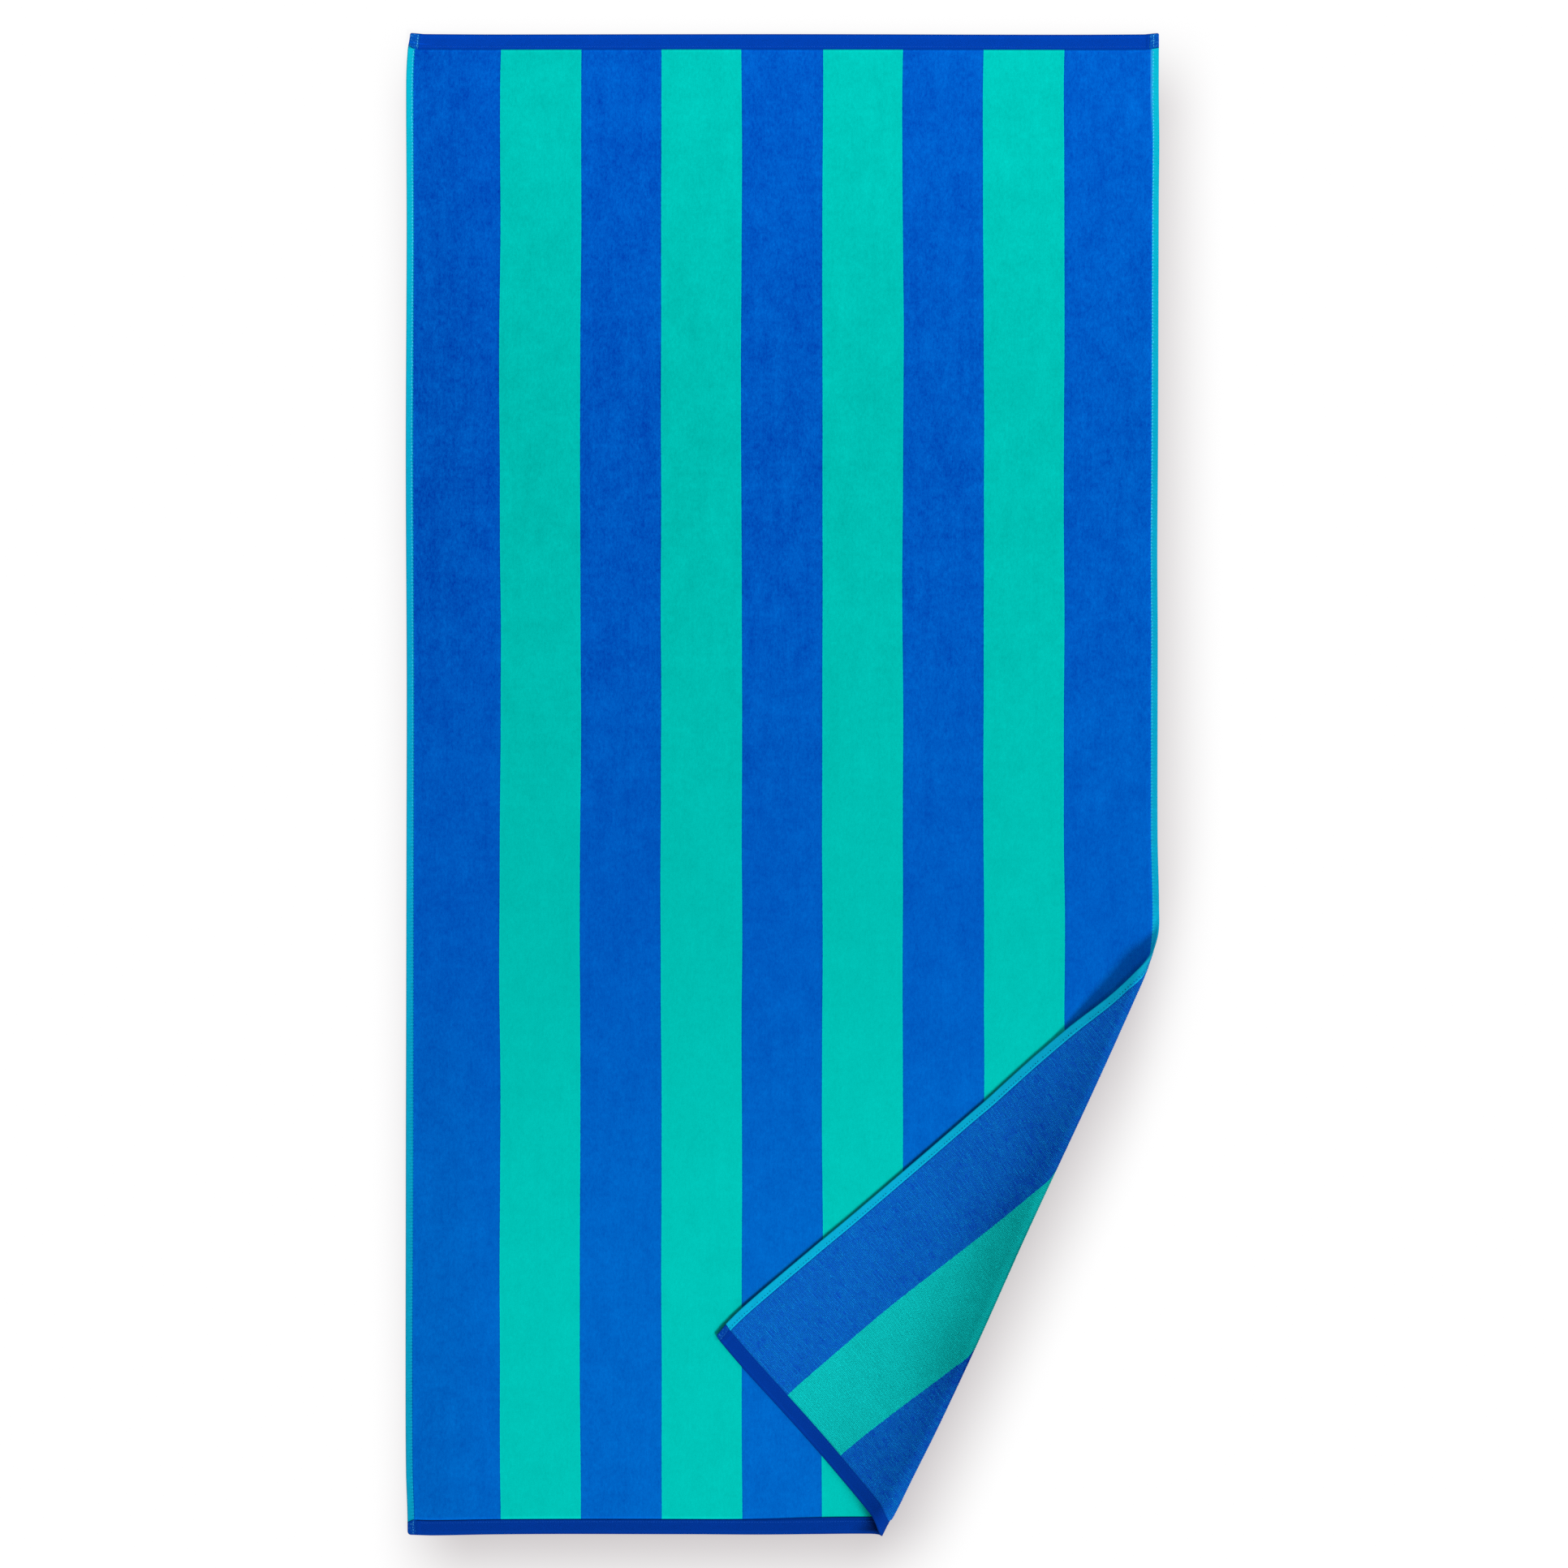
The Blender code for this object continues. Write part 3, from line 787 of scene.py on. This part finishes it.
VELOUR_BLUE = (0.0003, 0.1, 0.56, 1.0)
VELOUR_GREEN = (0.0003, 0.54, 0.475, 1.0)
TERRY_BLUE = (0.005, 0.168, 0.725, 1.0)
TERRY_GREEN = (0.0052, 0.715, 0.69, 1.0)
# the end hems' navy, the lower one the same navy painted in shade, as that hem turns from the light
NAVY_LIT = (0.0003, 0.062, 0.52, 1.0)
NAVY_SHADED = (0.0003, 0.041, 0.345, 1.0)
PATCH_BLUE = (0.001, 0.115, 0.575, 1.0)
SIDE_CYAN = (0.001, 0.385, 0.62, 1.0)
FRAYED_BLUE = (0.025, 0.35, 0.74, 1.0)
THREAD_CYAN = (0.09, 0.64, 1.0, 1.0)
THREAD_LOWER = (0.001, 0.375, 0.6, 1.0)  # of the side stitches further down
THREAD_CORNER = (0.04, 0.33, 0.72, 1.0)  # of the lower corners' stitches
THREAD_NAVY = (0.003, 0.09, 0.52, 1.0)
SHEEN_TINT = (0.0, 0.5, 1.0, 1.0)

# Painted light and shade: how the brushed pile's brightness drifts over the cloth.
LIT_MIDDLE = -0.06
LIT_UPPER = 0.15
LIT_LOWER = 0.1
LIT_RIGHT = 0.12  # to a metre
LIT_LEFT_EDGE = -0.06
LEFT_WIDER = 0.0008  # how much wider the side hem is on the left
LOWER_WIDER = 0.0024  # how much wider the lower hem is at the fold
MOTTLE = 0.8  # how strong its mottling is
MOTTLE_UP = 0.5  # and how much stronger further up
MOTTLE_GREEN = -0.4
MORE_BLUE = 0.08  # more green in the blue pile, and its change at both ends and to the right
LOWER_BLUE = 0.22
UPPER_BLUE = -0.06
RIGHT_BLUE = 0.09  # to a metre
BORDER_LINE = 0.0018  # half the width of the line between two stripes
BORDER_BLUE = -0.13
BORDER_GREEN = 0.07
WIDENING = (-0.1, 0.07)  # u between which the lower hem widens
PATCH_WIDTH = 0.0112  # of the end hems' blue ends
PATCH_UNEVEN = 0.0012
TIP_PATCH = 0.0082
SLANT_AT = 0.016  # from the end, where the side hem comes out of the corner
DRAWN_AT = 0.0112  # from the end, where a crease runs in the upper left corner


def striped(mat, blue, green, jag, aside=0.0):
    """The stripes: blue outside, then green and blue in turn, with slightly wandering borders.

    Gives their colour, 1 on the green ones, and how near a border is."""
    wander = mat.noise(6, 3.2, 1, seed=3)
    jagged = mat.noise(420, 420, 1, seed=8)
    shifted = mat.total(mat.u, (wander, 0.005), (jagged, jag), aside)
    counted = mat.total(INNER_STRIPES / 2 + 1, (shifted, 1 / STRIPE))
    within = mat.math("MINIMUM", mat.math("MAXIMUM", counted, 0.5), INNER_STRIPES + 1.5)
    parity = mat.math("FLOORED_MODULO", mat.math("FLOOR", within), 2)
    from_border = mat.math("PINGPONG", within, 0.5)
    border = mat.ramp(from_border, BORDER_LINE / STRIPE, 0.3 * BORDER_LINE / STRIPE)
    return mat.mix(parity, blue, green), parity, border


def velour():
    """Cut pile: matt, softly mottled, with faint streaks along the length."""
    mat = Material("velour")
    u, v = mat.uv()
    clouds = mat.noise(22, 18, 3, 0.95, seed=1)
    tufts = mat.noise(340, 150, 2, 0.95, seed=2)
    grain = mat.noise(1100, 900, 2, 0.7, seed=6)
    colour, green, border = striped(mat, VELOUR_BLUE, VELOUR_GREEN, 0.0008)
    upper = mat.ramp(v, 0.35, 0.95)
    lower = mat.ramp(v, -0.1, -0.62)
    halfway = mat.line(v, -0.06, 0.32)
    left_edge = mat.times(mat.ramp(u, -0.33, -0.42), mat.less(1, halfway))
    # painted light: brighter at both ends and to the right, darker in the middle and by the left edge
    painted_light = mat.total(LIT_MIDDLE, (upper, LIT_UPPER), (lower, LIT_LOWER), (u, LIT_RIGHT))
    painted_light = mat.total(painted_light, (left_edge, LIT_LEFT_EDGE))
    at_border = mat.total(BORDER_BLUE, (green, BORDER_GREEN - BORDER_BLUE))
    crossing = mat.times(border, at_border)
    drawn = mat.noise(90, 9, 2, 0.6, seed=4)
    flecks = mat.ramp(mat.noise(480, 300, 1, seed=9), 0.16, 0.27)
    mottle = mat.total((clouds, 0.42), (tufts, 0.5), (grain, 0.2), (drawn, 0.14), (flecks, 0.06))
    strength = mat.total(MOTTLE, (mat.ramp(v, -0.25, 0.45), MOTTLE_UP))
    strength = mat.times(strength, mat.total(1, (green, MOTTLE_GREEN)))
    mottle = mat.times(mottle, strength)
    # Painted light on the pile beside the hems, which stands full there and catches the light at its edge.
    side = mat.inside(u, WIDTH)
    beside = mat.ramp(side, SIDE_HEM + 0.007, SIDE_HEM + 0.001)
    above = mat.ramp(mat.inside(v, LENGTH), END_HEM + 0.0045, END_HEM + 0.0015)
    pile_edge_light = mat.total((beside, 0.06), (above, 0.13))
    # The lower hem widens towards the fold, with a painted shadow line along the pile's step.
    widening = mat.ramp(u, *WIDENING)
    above_hem = mat.total(LENGTH / 2 - END_HEM, v, (widening, -LOWER_WIDER))
    hem_step_shadow = mat.times(mat.line(above_hem, -0.0002, 0.0014), widening)
    tone = mat.total(mottle, painted_light, crossing, pile_edge_light)
    # with the painted shade that the mesh carries on the face, and the painted shadow line along the widened
    # hem
    tone = mat.total(tone, (mat.value("painted_shading"), 0.5), (hem_step_shadow, -0.5))
    on_blue = mat.less(1, green)
    more = mat.total(MORE_BLUE, (mottle, 1.3), (lower, LOWER_BLUE), (u, RIGHT_BLUE))
    more = mat.total(more, (mat.ramp(v, 0, 0.25), UPPER_BLUE))
    tone_green = mat.total(tone, (more, on_blue))
    hem_like = mat.wave(v, SIDE_STITCH)
    scallop = mat.total(mat.times(side, -1), (hem_like, 0.0004))
    on_left = mat.math("LESS_THAN", u, 0)
    wider = mat.times(on_left, mat.ramp(v, -0.72, -0.48))
    scallop = mat.total(scallop, (wider, LEFT_WIDER))
    over = mat.ramp(scallop, -SIDE_HEM - 0.0003, -SIDE_HEM)
    dyed = mat.toned(colour, tone, tone_green)
    # Below the upper right corner the pile's edge is frayed and pale.
    frayed = mat.times(mat.line(side, 0.0082, 0.0026), mat.ramp(v, 0.765, 0.825))
    frayed = mat.times(frayed, mat.total(0.75, (on_left, -0.75)))
    dyed = mat.mix(frayed, dyed, FRAYED_BLUE)
    dyed = mat.mix(over, dyed, mat.toned(SIDE_CYAN, mat.total((upper, 0.14))))
    # the widened hem's navy, darker, and deeper still on the painted shadow line
    navy = mat.toned(NAVY_SHADED, mat.total(-0.22, (hem_step_shadow, -0.55)))
    mat.colour(mat.mix(mat.ramp(above_hem, 0.0002, -0.0002), dyed, navy))
    mat.bump(mat.total((clouds, 0.6), (tufts, 0.8), (grain, 0.7)), 0.0004, 0.6)
    mat.matt(0.95, sheen=0.12, sheen_roughness=0.45)
    return mat.material


def terry(name, ground):
    """Terry: the loops themselves, or the ground under them with its rows of loops as relief."""
    mat = Material(name)
    u, v = mat.uv()
    # One border wanders aside on the back, next to the lower hem.
    aside = mat.times(mat.ramp(v, -0.795, -0.86), mat.line(u, 0.13, 0.07))
    aside = mat.times(aside, 0.01)
    colour, green, _ = striped(mat, TERRY_BLUE, TERRY_GREEN, 0.0016, aside)
    clouds = mat.noise(30, 24, 3, 0.6, seed=11)
    patches = mat.noise(130, 110, 2, 0.6, seed=13)
    grain = mat.noise(900, 700, 2, 0.6, seed=12)
    # painted shade and light that the mesh carries: the fold's on the back, the face's inside the fold and
    # beside the hem
    painted_shading = mat.value("painted_shading")
    each = mat.value("tone")
    if ground:
        rows = mat.wave(v, LOOP_ROW)
        loops = mat.wave(u, LOOP_PITCH, mat.times(grain, 4))
        # The ground under the loops is painted in shade.
        under = mat.times(mat.value("turned"), -0.25)
        tone = mat.total((clouds, 0.15), (grain, 0.5), (rows, 0.06), under, painted_shading)
        mat.bump(mat.total((rows, 0.5), (loops, 0.35), (grain, 1.4)), 0.0006)
    else:
        tone = mat.total((clouds, 0.16), (patches, 0.1), (grain, 0.1), (each, 0.62), painted_shading)
        mat.bump(grain, 0.0002)
    # The green in the blue loops varies more.
    extra = mat.total((clouds, 0.15), (patches, 0.4), (grain, 0.2), (each, 2.5), (painted_shading, 0.35))
    tone_green = mat.total(tone, (extra, mat.less(1, green)))
    mat.colour(mat.toned(colour, tone, tone_green))
    mat.matt(0.95, sheen=0.08)
    return mat.material


def end_hem():
    """The navy flat weave of the end hems, with the side hems' cyan in their bulkier blue ends."""
    mat = Material("end_hem")
    u, v = mat.uv()
    end = mat.inside(v, LENGTH)
    side = mat.inside(u, WIDTH)
    hand = mat.math("SIGN", u)
    upper = mat.ramp(v, -0.1, 0.1)
    weave = mat.times(mat.wave(u, 0.00085), mat.wave(v, 0.00075))
    cloudy = mat.noise(60, 160, 3, 0.6, seed=21)
    grain = mat.noise(900, 900, 2, 0.6, seed=22)
    ragged = mat.noise(300, 300, seed=23)
    # The blue ends differ in width, and the lower right one is nearly navy.
    on_left = mat.math("LESS_THAN", u, 0)
    at_tip = mat.times(mat.less(1, on_left), mat.less(1, upper))
    uneven = mat.times(on_left, mat.total(-PATCH_UNEVEN, (upper, 2 * PATCH_UNEVEN)))
    narrower = mat.times(at_tip, TIP_PATCH - PATCH_WIDTH)
    patch_edge = mat.total(PATCH_WIDTH, (ragged, 0.0016), uneven, narrower)
    patch = mat.math("LESS_THAN", side, patch_edge)
    patch_seam = mat.line(mat.less(side, patch_edge), 0, 0.0007)
    # the lower hem takes the navy painted in shade
    navy = mat.mix(upper, NAVY_SHADED, NAVY_LIT)
    blue = mat.mix(mat.total(0.85, (upper, -0.5)), PATCH_BLUE, navy)
    flecked = mat.ramp(mat.noise(430, 430, 1, seed=24), 0.02, 0.24)
    flecked = mat.times(flecked, mat.total(0.16, (upper, 0.14)))
    colour = mat.mix(patch, navy, mat.mix(flecked, blue, THREAD_CYAN))
    # The side hem comes out of the corner under a slanted edge.
    slant = mat.total(0.33, (hand, -0.17))
    slanted = mat.less(end, mat.times(slant, side))
    slanted = mat.total(slanted, (hand, -0.0011), (ragged, 0.0008))
    at_side = mat.ramp(side, SIDE_HEM + 0.0004, SIDE_HEM)
    out_of_corner = mat.times(mat.ramp(slanted, SLANT_AT, SLANT_AT + 0.0003), at_side)
    colour = mat.mix(out_of_corner, colour, SIDE_CYAN)
    corner_seam = mat.line(slanted, SLANT_AT, 0.0009)
    corner_seam = mat.times(corner_seam, mat.ramp(side, 0.013, 0.0115))
    # A painted highlight along a crease drawn from the upper left corner's stitches.
    drawn = mat.line(mat.total(end, (side, -0.055)), DRAWN_AT, 0.0009)
    drawn = mat.times(drawn, mat.ramp(side, 0.034, 0.014))
    drawn = mat.times(drawn, mat.times(on_left, upper))
    # A painted shadow along the pile's step over the hem: deeper on the lower hem, fainter where it widens.
    edge = mat.total(end, (ragged, 0.001))
    step_shadow_mask = mat.ramp(edge, 0.0165, 0.0177)
    step_shadow_mask = mat.times(step_shadow_mask, mat.ramp(side, 0.01, 0.012))
    widening = mat.times(mat.ramp(u, *WIDENING), mat.less(1, upper))
    step_shadow = mat.total(-0.62, (upper, 0.42), (widening, 0.45))
    step_shadow = mat.times(step_shadow_mask, step_shadow)
    # a lighter line along the hem, a painted highlight on its ridge
    ridge_highlight = mat.line(end, 0.0036, 0.0012)
    rim = mat.ramp(end, 0.0012, 0.0002)
    tone = mat.total((cloudy, 0.16), (grain, 0.12), (weave, 0.04), step_shadow, (ridge_highlight, 0.12))
    tone = mat.total(tone, (rim, -0.3), (drawn, 0.35), (patch_seam, -0.25), (corner_seam, -0.6))
    # the painted shade that the mesh carries reaches the end hems too
    tone = mat.total(tone, (mat.value("painted_shading"), 0.9))
    mat.colour(mat.toned(colour, mat.math("MAXIMUM", tone, -0.85)))
    mat.bump(mat.total((weave, 0.6), (grain, 0.6)), 0.0002)
    mat.matt(0.85, sheen=0.03, specular=0.02)
    return mat.material


def side_hem(name, on_back):
    """The cyan flat weave of the side hems, with fine ribs across, drawn in by the stitches.

    On the back a row of stitch holes runs near the inner edge."""
    mat = Material(name)
    u, v = mat.uv()
    side = mat.inside(u, WIDTH)
    ribs = mat.wave(v, 0.0011)
    cloudy = mat.noise(200, 70, 3, 0.6, seed=31)
    grain = mat.noise(800, 800, 2, 0.6, seed=32)
    rim = mat.ramp(side, 0.001, 0.0002)
    upper = mat.ramp(v, 0.2, 0.85)
    parts = [(cloudy, 0.3), (grain, 0.25), (ribs, 0.05), (rim, -0.18)]
    if on_back:
        uneven = mat.noise(40, 160, 1, seed=33)
        holes = mat.ramp(mat.wave(v, BACK_STITCH), 0.35, 0.85)
        deep = mat.times(mat.ramp(uneven, -0.22, 0.05), -1)
        rows = mat.line(mat.total(side, (uneven, 0.0012)), BACK_STITCH_IN, 0.0009)
        holed = mat.times(holes, mat.times(rows, deep))
        # the lighter inner edge, a painted highlight on the hem's ridge
        inner = mat.ramp(side, BACK_SIDE_HEM - 0.0014, BACK_SIDE_HEM - 0.0006)
        # with the painted shade that the mesh carries near the fold
        parts += [(holed, 0.8), (inner, 0.35), (mat.value("painted_shading"), 1.5)]
    else:
        pucker = mat.times(mat.wave(v, SIDE_STITCH), mat.ramp(side, 0.002, 0.007))
        lower = mat.ramp(v, 0, -0.6)
        # bend: painted light on the face hem at the fold's upper end
        bend = mat.times(mat.ramp(v, -0.13, -0.19), mat.ramp(u, 0, 0.1))
        parts += [(pucker, 0.1), (upper, 0.14), (lower, -0.12), (bend, 0.3)]
    tone = mat.total(*parts)
    mat.colour(mat.toned(SIDE_CYAN, tone, mat.total(tone, (upper, 0.22))))
    mat.bump(mat.total((ribs, 0.4), grain), 0.0002)
    mat.matt(0.85, sheen=0.05, specular=0.05)
    return mat.material


def thread(name, colour, lower_colour):
    """Sewing thread: smoother than cloth, with another colour further down."""
    mat = Material(name)
    _, v = mat.uv()
    strands = mat.noise(1500, 1500, 1, seed=41)
    dyed = mat.mix(mat.ramp(v, 0.7, -0.4), colour, lower_colour)
    mat.colour(mat.toned(dyed, mat.total((mat.value("tone"), 1), (strands, 0.2))))
    mat.bump(strands, 0.0001)
    mat.matt(0.6, specular=0.15)
    return mat.material


# ---- camera, floor and light

FRAME_WIDTH = 1.8758  # what the photograph spans at the floor
CAMERA_HEIGHT = 8.0
CAMERA_OVER = (0.0024, -0.0002)
SENSOR = 36.0


def camera():
    data = bpy.data.cameras.new("camera")
    data.sensor_width = SENSOR
    data.lens = SENSOR * CAMERA_HEIGHT / FRAME_WIDTH
    data.clip_end = 100.0
    made = linked("camera", data)
    made.location = (*CAMERA_OVER, CAMERA_HEIGHT)
    bpy.context.scene.camera = made


FLOOR_HALF = 16.0
FLOOR_GAP = 0.0006
FLOOR_GLOW = 0.93
FLOOR_COLOUR = (0.07, 0.07, 0.07, 1.0)
SHADE_COLOUR = (0.565, 0.53, 0.537, 1.0)  # of the glow in the deepest painted shadow
SHADE_SHIFT = (0.0175, -0.0388)
SHADE_REACH = 0.065
FOLD_SIDE = 0.002  # how far outside the crease the folded edge is


def floor():
    """A glowing white table, as in a light box, with a painted soft shadow of the towel to its lower right.
    """
    data = bpy.data.meshes.new("floor")
    corners = [(x * FLOOR_HALF, y * FLOOR_HALF, -FLOOR_GAP) for x, y in ((-1, -1), (1, -1), (1, 1), (-1, 1))]
    data.from_pydata(corners, [], [(0, 1, 2, 3)])
    mat = Material("floor")
    spot = mat.add("ShaderNodeTexCoord").outputs["Object"]
    split = mat.add("ShaderNodeSeparateXYZ", {0: spot})
    x = mat.less(split.outputs[0], SHADE_SHIFT[0])
    y = mat.less(split.outputs[1], SHADE_SHIFT[1])
    sides = (
        (1, 0, WIDTH / 2),
        (-1, 0, WIDTH / 2),
        (0, 1, LENGTH / 2),
        (0, -1, LENGTH / 2),
        (*ACROSS.tolist(), float(np.dot(ACROSS, SIDE_POINT)) + FOLD_SIDE),
    )
    shade = 1.0
    for side_x, side_y, at in sides:
        out = mat.total(-at, (x, side_x), (y, side_y))
        shade = mat.times(mat.ramp(out, SHADE_REACH, -SHADE_REACH), shade)
    mat.colour(FLOOR_COLOUR)
    mat.put(mat.shader.inputs["Emission Color"], mat.mix(shade, (1.0, 1.0, 1.0, 1.0), SHADE_COLOUR))
    mat.put(mat.shader.inputs["Emission Strength"], FLOOR_GLOW)
    mat.matt(0.9, specular=0.1)
    mat.material.cycles.emission_sampling = "NONE"
    data.materials.append(mat.material)
    made = linked("floor", data)


KEY_AZIMUTH = math.radians(-49.6)  # from +X: the light comes from the lower right
KEY_ELEVATION = math.radians(42.0)
KEY_SPREAD = math.radians(18.0)
KEY_SHARE = 0.46  # of the light on a level surface
TOP_AZIMUTH = math.radians(100.0)
TOP_ELEVATION = math.radians(65.0)
TOP_SPREAD = math.radians(60.0)
TOP_SHARE = 0.17
SKY_SHARE = 0.37


def sun(name, azimuth, elevation, spread_angle, share):
    """A distant soft light that gives a level surface its share of full brightness."""
    data = bpy.data.lights.new(name, "SUN")
    data.angle = spread_angle
    data.energy = share * math.pi / math.sin(elevation)
    linked(name, data).rotation_euler = (0.0, math.pi / 2 - elevation, azimuth)


def light():
    sun("key", KEY_AZIMUTH, KEY_ELEVATION, KEY_SPREAD, KEY_SHARE)
    sun("top", TOP_AZIMUTH, TOP_ELEVATION, TOP_SPREAD, TOP_SHARE)
    world = bpy.data.worlds.new("studio")
    world.use_nodes = True
    background = world.node_tree.nodes["Background"]
    background.inputs["Color"].default_value = (1.0, 1.0, 1.0, 1.0)
    background.inputs["Strength"].default_value = SKY_SHARE
    scene = bpy.context.scene
    scene.world = world
    scene.view_settings.view_transform = "Standard"
    # Smoothing would wipe the loops and the pile's grain away.
    scene.cycles.use_denoising = False


# ---- putting it together


def stitch_rows():
    """Name, start, end and side of the cloth of the rows on side hems, end hems and corners."""
    at = WIDTH / 2 - SIDE_STITCH_IN
    reach = LENGTH / 2 - END_HEM - SHORT_OF
    on_sides = [(hand, (x, -reach), (x, reach), FACE) for hand, x in (("left", -at), ("right", at))]
    at = LENGTH / 2 - END_STITCH_IN
    reach = WIDTH / 2 - CORNER_PATCH - SHORT_OF
    on_ends = []
    for hand, y in (("lower", -at), ("upper", at)):
        on_ends += [(f"{hand}_{word}", (-reach, y), (reach, y), i) for i, word in enumerate(("face", "back"))]
    in_corners = []
    for word, sign_u, sign_v, side, inset in CORNERS:
        x = sign_u * (WIDTH / 2 - inset)
        start, end = [(x, sign_v * (LENGTH / 2 - y)) for y in (CORNER_FROM, CORNER_TO)]
        in_corners.append((f"corner_{word}", start, end, side))
    return on_sides, on_ends, in_corners


def all_stitches():
    """The rows of stitches, each kind with its own thread."""
    kinds = (SIDE_STITCHES, END_STITCHES, CORNER_STITCHES)
    looks = (
        thread("thread_side", THREAD_CYAN, THREAD_LOWER),
        thread("thread_end", THREAD_NAVY, THREAD_NAVY),
        thread("thread_corner", THREAD_CYAN, THREAD_CORNER),
    )
    made = []
    for i, (rows, stitches, material) in enumerate(zip(stitch_rows(), kinds, looks)):
        for j, row in enumerate(rows):
            made.append(stitch_row(*row, stitches, material, SEED + 20 * i + j))
    return made


def main():
    camera()
    floor()
    light()
    hems = (side_hem("side_hem", False), side_hem("side_hem_back", True))
    cloth = towel_cloth([velour(), end_hem(), hems[FACE], terry("terry_ground", True), hems[BACK]])
    extras = terry_loops(terry("terry_loops", False))
    extras += all_stitches()
    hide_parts("towel")
    for piece in [cloth, *extras]:
        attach(piece, "root")


main()
